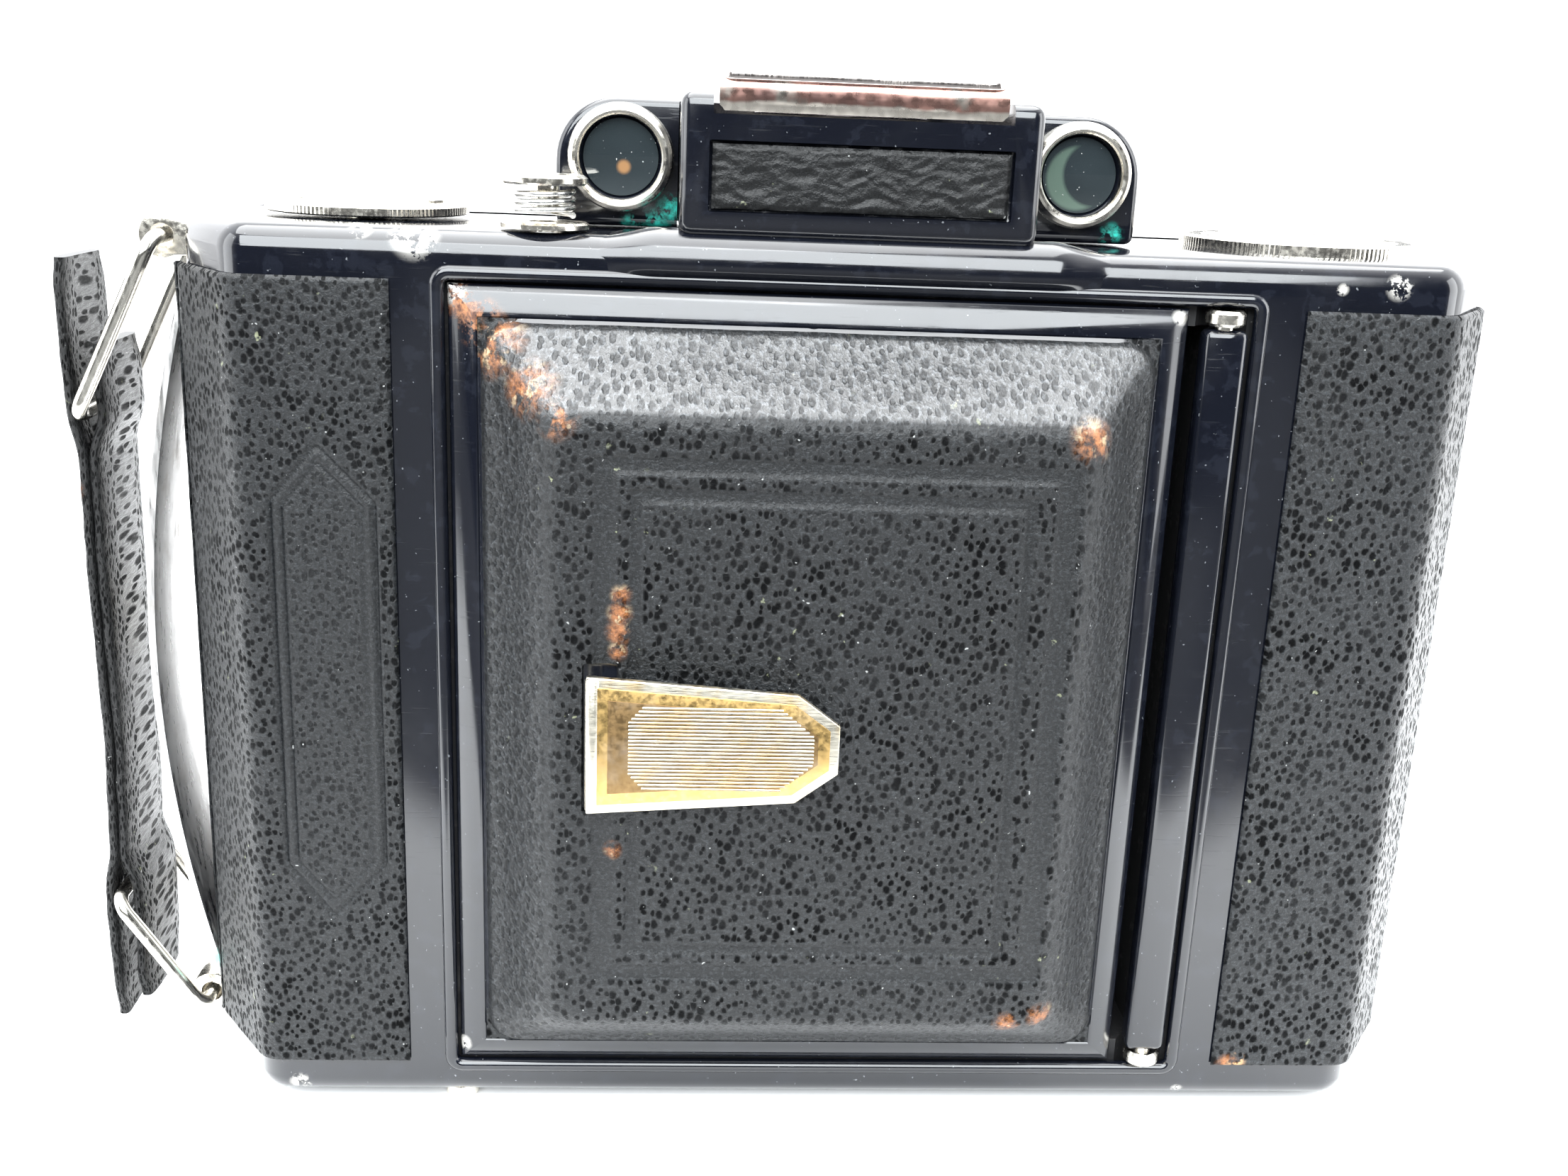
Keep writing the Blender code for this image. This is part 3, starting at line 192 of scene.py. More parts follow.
def enamel(name, chips=(), rust=(), shades=RUST_SHADES):
    """Glossy black enamel with fine scratches, smudges and chipped spots."""
    n = Nodes(name)
    smudge = n.noise(90, 4, 0.6)
    scratch = n.noise(260, 2, 0.5, n.scaled((1.0, 0.6, 14.0)))
    fine = n.step(scratch, 0.62, 0.7)
    dust = n.step(n.noise(2600, 1), 0.76, 0.80)
    wear = n.step(n.noise(420, 5, 0.65), 0.56, 0.60)
    broken = n.times(n.spots(chips), n.step(n.noise(900, 4, 0.7), 0.44, 0.50))
    rough = n.plus(n.step(smudge, 0.3, 0.75, 0.07, 0.22), n.times(fine, 0.10))
    rough = n.mixed(broken, rough, 0.4)
    colour = n.blend(dust, BLACK_GLOSS, (0.30, 0.32, 0.34), 0.35)
    colour = n.blend(wear, colour, (0.03, 0.035, 0.05), 0.10)
    colour = n.blend(broken, colour, (0.62, 0.60, 0.56))
    if rust:
        stain = n.times(n.spots(rust), n.step(n.noise(500, 5, 0.7), 0.44, 0.54))
        shade = n.blend(n.step(n.noise(1600, 4, 0.7), 0.35, 0.65), *shades)
        colour = n.blend(stain, colour, shade)
        rough = n.mixed(stain, rough, 0.7)
    height = n.minus(n.minus(n.times(smudge, 0.3), broken), n.times(fine, 0.06))
    gloss = {"Coat_Weight": 0.35, "Coat_Roughness": 0.04}
    return n.finish(colour, rough, n.bump(height, 0.05 * MM, 0.5), n.times(broken, 0.8), **gloss)


def leather(name, cell=1050.0, depth=0.2, rust=(), tears=(), tone=1.0):
    """Black leather: ridges round pits painted near black as shade, crease lines painted lighter as
    highlights, and fine glints.

    The mesh's "grain" map carries the pattern. Its "pressed" attribute flattens the
    grain up to 1, and from 1 to 2 polishes it and paints its crease lines lighter, a painted sheen.
    """
    n = Nodes(name)

    def grey(level, *tint):
        return tuple(level * tone * c for c in tint)

    flat = n.node("ShaderNodeUVMap", uv_map="grain").outputs["UV"]
    warp = n.node("ShaderNodeTexNoise", {"Vector": flat, "Scale": cell * 0.6, "Detail": 4.0})
    warp = {0: warp.outputs["Color"], "Scale": 0.75 / cell}
    warp = n.node("ShaderNodeVectorMath", warp, operation="SCALE").outputs[0]
    warped = n.node("ShaderNodeVectorMath", {0: flat, 1: warp}, operation="ADD").outputs[0]
    stretch = {"Vector": warped, "Rotation": (0, 0, 0.5), "Scale": (1.2, 0.85, 1)}
    stretch = n.node("ShaderNodeMapping", stretch).outputs["Vector"]
    cells = {"Vector": stretch, "Scale": cell, "Randomness": 0.85}
    cells = n.node("ShaderNodeTexVoronoi", cells, voronoi_dimensions="2D")
    random = n.node("ShaderNodeSeparateColor", {0: cells.outputs["Color"]}).outputs[0]
    distance = n.times(cells.outputs["Distance"], n.step(random, 0.0, 1.0, 0.85, 1.7))
    pressed = n.node("ShaderNodeAttribute", attribute_name="pressed").outputs["Fac"]
    kept = n.plus(n.step(pressed, 0.0, 1.0, 1.0, 0.12), n.step(pressed, 1.0, 1.3, 0.0, 0.33))
    strength = n.times(n.step(n.noise(140, 3), 0.3, 0.7, 0.6, 0.97), kept)
    polish_and_painted_sheen = n.step(pressed, 1.0, 2.0)
    pit = n.times(n.step(distance, 0.22, 0.50, 1.0, 0.0), strength)
    creases = n.noise(cell * 2.6, 4, 0.65, flat)
    lines = n.step(creases, 0.50, 0.62)
    dark, pale = grey(0.0036, 0.86, 1.0, 1.16), grey(0.0072, 0.88, 1.0, 1.14)
    ridge = n.blend(n.noise(60, 3, 0.6), dark, pale)
    # painted highlight: the crease lines are painted lighter grey, standing in for light caught on
    # the ridges
    ridge = n.blend(lines, ridge, grey(0.034, 0.9, 1.0, 1.1), 0.5)
    # painted sheen: where the grain is polished, the crease lines are painted lighter still, most on
    # the upper slope
    ridge = n.blend(n.times(polish_and_painted_sheen, lines), ridge, (0.055, 0.060, 0.066))
    # painted shade: the pits are painted near black, standing in for shade in the hollows of the
    # grain
    colour = n.blend(pit, ridge, (0.0002, 0.0003, 0.0004))
    mould = n.step(n.noise(700, 3, 0.6), 0.68, 0.74)
    mould = n.times(mould, n.step(n.noise(75, 2), 0.50, 0.60))
    colour = n.blend(mould, colour, (0.30, 0.32, 0.20), 0.5)
    white = n.step(n.noise(1900, 1), 0.78, 0.81)
    colour = n.blend(white, colour, (0.55, 0.56, 0.55), 0.4)
    if rust:
        stain = n.times(n.spots(rust, 0.15), n.step(n.noise(330, 5, 0.7), 0.40, 0.54))
        shade = n.step(n.noise(1400, 4, 0.7), 0.35, 0.65)
        shade = n.blend(shade, (0.045, 0.014, 0.006), (0.30, 0.12, 0.045))
        shade = n.blend(n.step(n.noise(520, 3, 0.6), 0.54, 0.60), shade, (0.42, 0.30, 0.18))
        colour = n.blend(stain, colour, shade)
    if tears:
        torn = n.times(n.spots(tears, 0.3, 0.7), n.step(n.noise(500, 3), 0.45, 0.5))
        colour = n.blend(torn, colour, (0.40, 0.24, 0.12))
    rough = n.plus(n.step(creases, 0.3, 0.7, 0.40, 0.26), n.times(pit, 0.35))
    height = n.plus(n.times(pit, -1.0), n.times(creases, 0.85))
    height = n.plus(height, n.times(n.noise(cell * 6.0, 2, 0.5, flat), 0.10))
    shine = n.mixed(pit, n.step(polish_and_painted_sheen, 0.0, 1.0, 0.30, 1.0), 0.04)
    n.feed(n.shader.inputs["Specular IOR Level"], shine)
    return n.finish(colour, rough, n.bump(height, depth * MM))


def plated(name, colour=PALE_NICKEL, brush=(1, 1, 1), rough=0.22, brass=0.0, grime=()):
    """Old nickel plate: brushed, tarnished in patches, worn to brass where brass > 0."""
    n = Nodes(name)
    lines = n.noise(1500, 3, 0.6, n.scaled(brush))
    patch = n.noise(160, 4, 0.65)
    tarnish = n.step(patch, 0.50, 0.75)
    base = n.blend(tarnish, colour, (0.36, 0.31, 0.25), 0.45)
    if brass:
        worn = n.step(n.noise(110, 4, 0.6), 0.62 - 0.3 * brass, 0.72 - 0.3 * brass)
        base = n.blend(worn, base, (0.66, 0.46, 0.20), 0.6)
    dots = n.step(n.noise(800, 3), 0.70, 0.76)
    base = n.blend(dots, base, (0.20, 0.15, 0.11), 0.4)
    metal = 1.0
    if grime:
        green = n.times(n.spots(grime), n.step(n.noise(700, 4, 0.7), 0.44, 0.54))
        base = n.blend(green, base, (0.02, 0.30, 0.24))
        metal = n.mixed(green, 1.0, 0.0)
    roughness = n.step(lines, 0.3, 0.7, rough * 0.7, rough * 1.4)
    roughness = n.plus(roughness, n.times(tarnish, 0.15))
    height = n.plus(lines, n.times(patch, 0.4))
    return n.finish(base, roughness, n.bump(height, 0.02 * MM, 0.5), metal)


def nickel_with_painted_reflection(name, low_z, high_z):
    """Worn nickel with a painted reflection of a warm room: painted bright at the foot, pinkish
    brown above.
    """
    n = Nodes(name)
    level = n.step(n.axis("Z"), low_z, high_z)
    wander = n.noise(110, 3, 0.6, n.scaled((1.0, 1.0, 0.35)))
    bright = n.step(n.plus(level, n.times(wander, 0.8)), 0.50, 0.62, 1.0, 0.0)
    painted_warm_reflection = n.blend(n.step(wander, 0.35, 0.65), (0.11, 0.075, 0.075), (0.42, 0.24, 0.20))
    painted_warm_reflection = n.blend(n.step(n.noise(300, 4), 0.55, 0.7), painted_warm_reflection, (0.30, 0.28, 0.25))
    colour = n.blend(bright, painted_warm_reflection, (0.80, 0.74, 0.66))
    normal = n.bump(n.noise(500, 4, 0.6), 0.03 * MM, 0.5)
    return n.finish(colour, n.step(n.noise(900, 2), 0.3, 0.7, 0.22, 0.38), normal, 1.0)


def dark_glass(name, shade, centre, radius, bite=None, bite_radius=0):
    """Old window glass over a dark housing; a bite turns its coloured patch to a crescent."""
    n = Nodes(name)
    dust = n.step(n.noise(3200, 1), 0.72, 0.77)
    tint = (0.012, 0.016, 0.018)
    colour = n.blend(n.noise(180, 2), tint, tuple(2.2 * c for c in tint))
    inside = n.near(centre, radius, 0.5 * MM)
    if bite:
        inside = n.times(inside, n.minus(1.0, n.near(bite, bite_radius, 0.5 * MM)))
    colour = n.blend(inside, colour, shade, 0.8)
    colour = n.blend(dust, colour, (0.6, 0.6, 0.58), 0.6)
    return n.finish(colour, 0.06, Coat_Weight=1.0, Coat_Roughness=0.02)


def matt_black(name):
    """Old flat black paint, rubbed and dusty."""
    n = Nodes(name)
    rub = n.step(n.noise(300, 5, 0.7), 0.52, 0.66)
    colour = n.blend(rub, (0.006, 0.006, 0.007), (0.030, 0.028, 0.026), 0.5)
    dust = n.step(n.noise(2200, 1), 0.74, 0.79)
    colour = n.blend(dust, colour, (0.3, 0.3, 0.28), 0.3)
    rough = n.step(rub, 0.0, 1.0, 0.72, 0.5)
    return n.finish(colour, rough, n.bump(n.noise(1500, 3), 0.02 * MM, 0.6))


def lens_glass(name):
    """Coated lens glass with a little dust."""
    n = Nodes(name)
    dust = n.step(n.noise(2600, 1), 0.75, 0.79)
    tint = n.blend(n.noise(70, 2), (0.010, 0.012, 0.030), (0.030, 0.014, 0.030))
    colour = n.blend(dust, tint, (0.5, 0.5, 0.5), 0.5)
    return n.finish(colour, 0.04, Coat_Weight=1.0, Coat_Roughness=0.02)


def ruby_glass(name):
    """Deep red glass of the film window."""
    n = Nodes(name)
    colour = n.blend(n.noise(240, 3), (0.16, 0.003, 0.004), (0.30, 0.010, 0.008))
    return n.finish(colour, 0.10, Coat_Weight=0.8, Coat_Roughness=0.05)


# ---------------------------------------------------------------- finishes

def mark(x, ahead, z, radius, level=0.0):
    """A spot by the front: across, ahead of the case and above a level, in millimetres."""
    return ((x * MM, FRONT - ahead * MM, level + z * MM), radius * MM)


CHIPS = [
    mark(-41, -0.6, -0.5, 2.3, TOP),
    mark(-46, -1, 0, 1.2, TOP),
    mark(52, 0, -2.0, 1.3, TOP),
    mark(46.5, 0, -2.4, 0.6, TOP),
    mark(-55, 0, 1.5, 1.2, BASE),
    mark(40, 0, 1.0, 0.8, BASE),
]
DOOR_CHIPS = [mark(-37.6, 0, 87.0, 1.4), mark(31.0, 0, 86.8, 0.8), mark(-37.6, 0, 8.0, 0.9)]
DOOR_RUST = [mark(-36.6, 0.6, 86.2, 2.0), mark(-34.8, 0.8, 84.2, 2.4)]
LEATHER_RUST = [
    mark(-33.4, 2.5, 82.6, 3.4),
    mark(-30.0, 6.5, 79.4, 3.2),
    mark(-27.4, 10, 77.4, 2.4),
    mark(21.6, 10, 76.6, 2.6),
    mark(-21.2, 10.6, 61.0, 1.2),
    mark(-21.3, 10.6, 59.2, 1.4),
    mark(-21.4, 10.6, 57.4, 1.4),
    mark(-21.5, 10.6, 55.6, 1.1),
    mark(-21.8, 10.6, 35.5, 1.1),
    mark(21.5, 10, 17.4, 1.9),
    mark(18.0, 10, 16.8, 1.6),
]
HOUSING_GREEN = [
    (mm(-17.8, -8, 94.6), 1.5 * MM),
    (mm(-19.2, -8, 93.2), 1.6 * MM),
    (mm(-21.6, -8, 93.0), 1.1 * MM),
    (mm(26.6, -8, 93.6), 1.3 * MM),
]
RIM_GREEN = [(mm(-19.6, -9.5, 94.9), 1.6 * MM), (mm(26.5, -9.5, 95.1), 1.2 * MM)]
ENAMEL = enamel("black_enamel", CHIPS)
ENAMEL_PLAIN = enamel("black_enamel_plain")
DOOR_ENAMEL = enamel("door_enamel", DOOR_CHIPS, DOOR_RUST)
HOUSING = enamel("housing_enamel", (), HOUSING_GREEN, VERDIGRIS)
NICKEL = plated("old_nickel")
STEEL = plated("bright_steel", (0.62, 0.62, 0.61), (1, 1, 6), 0.26)
TONGUE_METAL = plated("tongue_nickel", (0.56, 0.53, 0.45), (0.5, 1, 9), 0.36, 0.3)
TONGUE_BRASS = plated("tongue_brass", (0.46, 0.31, 0.12), (1, 1, 1), 0.36)
TONGUE_GRIME = plated("tongue_grime", (0.20, 0.13, 0.06), (1, 1, 1), 0.45)
RIM = plated("rim_nickel", PALE_NICKEL, (1, 1, 1), 0.2, 0.0, RIM_GREEN)
SIGHT = plated("sight_nickel", (0.86, 0.78, 0.75), (6, 1, 1), 0.16)
# the sight's lip: nickel with a painted reflection, bright low down and pinkish brown above
SIGHT_LIP = nickel_with_painted_reflection("sight_lip_nickel", 104.0 * MM, 107.5 * MM)
SIDE_GREEN = [(mm(-65.6, -8, 12), 3 * MM)]
SIDE_METAL = plated("side_nickel", (0.72, 0.71, 0.70), (1, 1, 0.12), 0.34, 0.0, SIDE_GREEN)
RING_METAL = plated("ring_nickel", (0.80, 0.77, 0.70), (1, 1, 0.3), 0.2)
DOOR_LEATHER = leather("door_leather_black", 1000, 0.20, LEATHER_RUST)
LEFT_LEATHER = leather("left_leather_black", 1120, 0.17)
RIGHT_RUST, RIGHT_TEAR = [mark(45.0, 0.6, 6.2, 1.4)], [mark(46.0, 0.6, 6.6, 1.3)]
# tone 1.3 paints the right panel lighter than the left: a painted sheen from the light on that side
RIGHT_LEATHER = leather("right_leather_black", 950, 0.22, RIGHT_RUST, RIGHT_TEAR, 1.3)
BACK_LEATHER = leather("back_leather_black", 1000, 0.18, (), (), 0.5)
BELLOWS_LEATHER = leather("bellows_leather_black", 2200, 0.05, (), (), 0.5)
INSET_LEATHER = leather("inset_leather_black", 1300, 0.12, (), (), 0.35)
STRAP_RUST = [(mm(-79, -6, 64), 1.6 * MM)]
STRAP_LEATHER = leather("strap_leather_black", 1100, 0.18, STRAP_RUST, (), 0.3)
MATT = matt_black("matt_black")
LENS_GLASS = lens_glass("lens_glass")
RUBY_GLASS = ruby_glass("ruby_glass")
AMBER, GREEN = (0.30, 0.16, 0.07), (0.085, 0.125, 0.10)
GREEN_SPOT = (mm(22.4, -9.1, 99.0), 2.8 * MM, mm(24.1, -9.1, 99.5), 2.9 * MM)
GLASS_LEFT = dark_glass("window_amber", AMBER, mm(-22.3, -9.1, 98.4), 0.35 * MM)
GLASS_RIGHT = dark_glass("window_green", GREEN, *GREEN_SPOT)

# ---------------------------------------------------------------- mesh helpers


def smooth(mesh, angle=32):
    mesh.polygons.foreach_set("use_smooth", [True] * len(mesh.polygons))
    mesh.set_sharp_from_angle(angle=math.radians(angle))


def linked(name, data):
    made = bpy.data.objects.new(name, data)
    bpy.context.scene.collection.objects.link(made)
    return made


def piece(name, shape, finish, body, node=None, angle=32):
    """A finished shape or mesh riding on a body, shown in place of a CAD node."""
    mesh = shape if isinstance(shape, bpy.types.Mesh) else to_mesh(shape)
    made = linked(name, mesh)
    mesh.materials.clear()
    mesh.materials.append(finish)
    smooth(mesh, angle)
    if body:
        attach(made, body)
    if node:
        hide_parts(node)
    return made


def to_mesh(shape):
    mesh = bpy.data.meshes.new("shape")
    bmesh.ops.recalc_face_normals(shape, faces=shape.faces)
    shape.to_mesh(mesh)
    shape.free()
    return mesh


def evaluated(item):
    """The mesh of an object with its modifiers applied; the object itself goes."""
    depsgraph = bpy.context.evaluated_depsgraph_get()
    mesh = bpy.data.meshes.new_from_object(item.evaluated_get(depsgraph))
    bpy.data.objects.remove(item, do_unlink=True)
    return mesh


def middle_of(low, high):
    return tuple((a + b) / 2 for a, b in zip(low, high))


def arc(centre, radius, start, stop, count):
    points = []
    for i in range(count + 1):
        angle = math.radians(start + (stop - start) * i / count)
        points.append((centre[0] + radius * math.cos(angle), centre[1] + radius * math.sin(angle)))
    return points


def rectangle(width, height, radius=0.0, centre=(0, 0), count=6):
    points = []
    for quarter, (sx, sy) in enumerate(((1, 1), (-1, 1), (-1, -1), (1, -1))):
        middle = (centre[0] + sx * (width / 2 - radius), centre[1] + sy * (height / 2 - radius))
        if radius:
            points += arc(middle, radius, 90 * quarter, 90 * quarter + 90, count)
        else:
            points.append(middle)
    return points


def offset(outline, distance):
    """The outline grown outward by a distance."""
    grown = []
    for i, point in enumerate(outline):
        here = Vector(point)
        before = (here - Vector(outline[i - 1])).normalized()
        after = (Vector(outline[(i + 1) % len(outline)]) - here).normalized()
        out_a = Vector((before.y, -before.x))
        out_b = Vector((after.y, -after.x))
        grown.append(tuple(here + (out_a + out_b) * distance / (1 + out_a.dot(out_b))))
    return grown


def prism(outline, low, high, bevel=0.0, segments=4, angle=30):
    """Outline in XY between two heights; sharp edges rounded by bevel."""
    shape = bmesh.new()
    face = shape.faces.new([shape.verts.new((x, y, low)) for x, y in outline])
    made = bmesh.ops.extrude_face_region(shape, geom=[face])
    tops = [v for v in made["geom"] if isinstance(v, bmesh.types.BMVert)]
    bmesh.ops.translate(shape, vec=(0, 0, high - low), verts=tops)
    bmesh.ops.recalc_face_normals(shape, faces=shape.faces)
    if bevel:
        round_edges(shape, bevel, segments, angle)
    return shape


def round_edges(shape, width, segments=3, angle=30):
    limit = math.radians(angle)
    edges = [e for e in shape.edges if len(e.link_faces) == 2 and e.calc_face_angle() > limit]
    how = {"segments": segments, "profile": 0.5, "affect": "EDGES", "clamp_overlap": True}
    bmesh.ops.bevel(shape, geom=edges, offset=width, **how)


def spun(shape, angle, axis="Z"):
    bmesh.ops.rotate(shape, matrix=Matrix.Rotation(angle, 3, axis), verts=shape.verts)
    return shape


def forward(shape):
    """Turn a shape so that its +Z points to the front, -Y."""
    return spun(shape, math.pi / 2, "X")


def backward(shape):
    """Turn a shape so that its +Z points to the back, +Y."""
    return spun(shape, -math.pi / 2, "X")


def moved(shape, vector):
    bmesh.ops.translate(shape, vec=vector, verts=shape.verts)
    return shape


def box(low, high, bevel=0.0, segments=3):
    shape = bmesh.new()
    bmesh.ops.create_cube(shape, size=1.0)
    low, high = Vector(low), Vector(high)
    bmesh.ops.scale(shape, vec=high - low, verts=shape.verts)
    moved(shape, (low + high) / 2)
    if bevel:
        round_edges(shape, bevel, segments)
    return shape


def lathe(profile, steps=64, ring=False):
    """A profile of (radius, height) turned about Z; a ring's profile closes on itself."""
    shape = bmesh.new()
    turn = [2 * math.pi * i / steps for i in range(steps)]
    rings = []
    for r, height in profile:
        if r < 1e-7:
            rings.append([shape.verts.new((0, 0, height))])
        else:
            points = [(r * math.cos(a), r * math.sin(a), height) for a in turn]
            rings.append([shape.verts.new(point) for point in points])
    pairs = list(zip(rings, rings[1:]))
    if ring:
        pairs.append((rings[-1], rings[0]))
    for a, b in pairs:
        for i in range(steps):
            j = (i + 1) % steps
            corners = [a[i % len(a)], b[i % len(b)], b[j % len(b)], a[j % len(a)]]
            unique = list(dict.fromkeys(corners))
            if len(unique) > 2:
                shape.faces.new(unique)
    bmesh.ops.recalc_face_normals(shape, faces=shape.faces)
    return shape


def in_mm(*pairs):
    return [mm(*pair) for pair in pairs]


def cylinder(radius, low, high, steps):
    return lathe([(0, low), (radius, low), (radius, high), (0, high)], steps)


def barrel(radius, low, high, steps, inset, drop):
    """A cylinder whose two ends are chamfered."""
    inner = radius - inset
    profile = [(0, low), (inner, low), (radius, low + drop)]
    return lathe(profile + [(radius, high - drop), (inner, high), (0, high)], steps)


def merged(*shapes):
    """Several closed shapes as one."""
    target = bmesh.new()
    for shape in shapes:
        mesh = to_mesh(shape)
        target.from_mesh(mesh)
        bpy.data.meshes.remove(mesh)
    return target


def boolean(shape, *steps):
    """Cut or join shapes one after another; each step is (operation, shape)."""
    base = linked("base", to_mesh(shape))
    tools = []
    for operation, other in steps:
        tools.append(linked("tool", to_mesh(other)))
        modifier = base.modifiers.new("step", "BOOLEAN")
        modifier.operation = operation
        modifier.solver = "EXACT"
        modifier.object = tools[-1]
    mesh = evaluated(base)
    for tool in tools:
        bpy.data.objects.remove(tool, do_unlink=True)
    result = bmesh.new()
    result.from_mesh(mesh)
    bpy.data.meshes.remove(mesh)
    return result


def cut(shape, *tools):
    return boolean(shape, *(("DIFFERENCE", tool) for tool in tools))


def band(shape, a, b):
    """Quads between two closed rings of vertices."""
    after = [(i + 1) % len(a) for i in range(len(a))]
    return [shape.faces.new((a[i], a[j], b[j], b[i])) for i, j in enumerate(after)]


def capped(shape, rings):
    """Close a stack of rings with a band between each two and a face at each end."""
    for a, b in zip(rings, rings[1:]):
        band(shape, a, b)
    shape.faces.new(rings[0])
    shape.faces.new(rings[-1])
    bmesh.ops.recalc_face_normals(shape, faces=shape.faces)
    return shape


def grained(shape, rings, width, height):
    """Bands between rings, with the leather's grain map at its real size."""
    layer = shape.loops.layers.uv.new("grain")
    steps, count = len(rings) - 1, len(rings[0])
    for i, (a, b) in enumerate(zip(rings, rings[1:])):
        for k, face in enumerate(band(shape, a, b)):
            corners = ((k, i), (k + 1, i), (k + 1, i + 1), (k, i + 1))
            for loop, (across, up) in zip(face.loops, corners):
                loop[layer].uv = (width * across / count, height * up / steps)


def wire(points, radius, cyclic=False, sides=12):
    """A round tube along points, with flat ends unless it is cyclic."""
    shape = bmesh.new()
    count = len(points)
    places = [Vector(p) for p in points]
    normal = None
    rings = []
    for i, here in enumerate(places):
        if cyclic:
            along = places[(i + 1) % count] - places[i - 1]
        else:
            along = places[min(i + 1, count - 1)] - places[max(i - 1, 0)]
        along.normalize()
        if normal is None:
            normal = along.orthogonal().normalized()
        normal = (normal - along * normal.dot(along)).normalized()
        other = along.cross(normal)
        ring = []
        for k in range(sides):
            angle = 2 * math.pi * k / sides
            spot = here + (normal * math.cos(angle) + other * math.sin(angle)) * radius
            ring.append(shape.verts.new(spot))
        rings.append(ring)
    if not cyclic:
        return capped(shape, rings)
    last, first = rings[-1], rings[0]
    shift = min(range(sides), key=lambda k: (first[k].co - last[0].co).length)
    for a, b in zip(rings, rings[1:] + [first[shift:] + first[:shift]]):
        band(shape, a, b)
    bmesh.ops.recalc_face_normals(shape, faces=shape.faces)
    return shape


def grid(size, step, place):
    """A sheet of quads about step wide; place(u, v), from 0 to 1, gives each point.

    place may give a fourth value: how far the grain is pressed smooth there; above 1 it also gives a
    painted sheen.
    """
    shape = bmesh.new()
    pressed = shape.verts.layers.float.new("pressed")
    points = []
    columns, rows = (max(1, round(length / step)) for length in size)
    for j in range(rows + 1):
        row = []
        for i in range(columns + 1):
            x, y, z, *flat = place(i / columns, j / rows)
            vertex = shape.verts.new((x, y, z))
            vertex[pressed] = flat[0] if flat else 0.0
            row.append(vertex)
        points.append(row)
    layer = shape.loops.layers.uv.new("grain")
    width, height = size
    for j in range(rows):
        for i in range(columns):
            corners = ((i, j), (i + 1, j), (i + 1, j + 1), (i, j + 1))
            face = shape.faces.new([points[b][a] for a, b in corners])
            for loop, (a, b) in zip(face.loops, corners):
                loop[layer].uv = (width * a / columns, height * b / rows)
    return shape


def solidified(shape, thickness):
    """An open sheet thickened against its normals, as a mesh."""
    mesh = bpy.data.meshes.new("sheet")
    shape.to_mesh(mesh)
    shape.free()
    item = linked("sheet", mesh)
    solid = item.modifiers.new("thickness", "SOLIDIFY")
    solid.thickness = thickness
    solid.offset = -1
    return evaluated(item)


def thick(shape, thickness, facing):
    """Thicken an open sheet away from the side that faces along a direction."""
    shape.normal_update()
    total = sum((f.normal * f.calc_area() for f in shape.faces), Vector())
    if total.dot(Vector(facing)) < 0:
        bmesh.ops.reverse_faces(shape, faces=shape.faces)
    return solidified(shape, thickness)


def s_curve(t):
    t = min(max(t, 0.0), 1.0)
    return t * t * (3 - 2 * t)


def groove(distance, width, depth):
    """A rounded groove: depth at its middle, 0 from half its width on."""
    t = abs(distance) / (width / 2)
    return -depth * (1 - s_curve(t)) if t < 1 else 0.0


def edge_distance(u, v, width, tall):
    return min(u * width, (1 - u) * width, v * tall, (1 - v) * tall)


# ---------------------------------------------------------------- stage, camera and lights

# painted shadow: the floor ahead of FLOOR_EDGE is painted almost black, standing in for shade in
# front of the camera
FLOOR_EDGE = -92 * MM  # ahead of it the floor is dark, as what the black enamel mirrors


def make_stage():
    shape = bmesh.new()
    bmesh.ops.create_grid(shape, x_segments=1, y_segments=1, size=6.0)
    floor = linked("floor", bpy.data.meshes.new("floor"))
    shape.to_mesh(floor.data)
    shape.free()
    n = Nodes("pale_floor")
    front = n.step(n.axis("Y"), FLOOR_EDGE - 16 * MM, FLOOR_EDGE + 16 * MM)
    tone = n.step(n.noise(3.0, 2), 0.2, 0.8, 0.90, 0.94)
    # painted shadow: nearly black ahead of FLOOR_EDGE, pale behind it
    tone = n.mixed(front, 0.02, tone)
    colour = n.node("ShaderNodeCombineColor", {0: tone, 1: tone, 2: tone})
    floor.data.materials.append(n.finish(colour.outputs[0], 0.7))


def area_light(name, place, width, height, radiance, colour):
    """A softbox of a given radiance aimed at the camera body's middle."""
    data = bpy.data.lights.new(name, "AREA")
    data.shape = "RECTANGLE"
    data.size = width
    data.size_y = height
    data.energy = radiance * math.pi * width * height
    data.color = colour
    light = linked(name, data)
    light.location = place
    aim = Vector((0, 0, MID_Z)) - Vector(place)
    light.rotation_euler = aim.to_track_quat("-Z", "Y").to_euler()


def make_world():
    """White above and behind, darker in front of the camera."""
    world = bpy.data.worlds.new("studio")
    bpy.context.scene.world = world
    world.use_nodes = True
    tree = world.node_tree
    coords = tree.nodes.new("ShaderNodeTexCoord")
    split = tree.nodes.new("ShaderNodeSeparateXYZ")
    ramp = tree.nodes.new("ShaderNodeMapRange")
    ramp.interpolation_type = "SMOOTHSTEP"
    ends = {"From Min": -0.75, "From Max": 0.15, "To Min": 0.03, "To Max": 3.2}
    for key, value in ends.items():
        ramp.inputs[key].default_value = value
    background = tree.nodes["Background"]
    background.inputs["Color"].default_value = (0.97, 0.985, 1.0, 1.0)
    tree.links.new(coords.outputs["Generated"], split.inputs[0])
    tree.links.new(split.outputs["Y"], ramp.inputs["Value"])
    tree.links.new(ramp.outputs["Result"], background.inputs["Strength"])


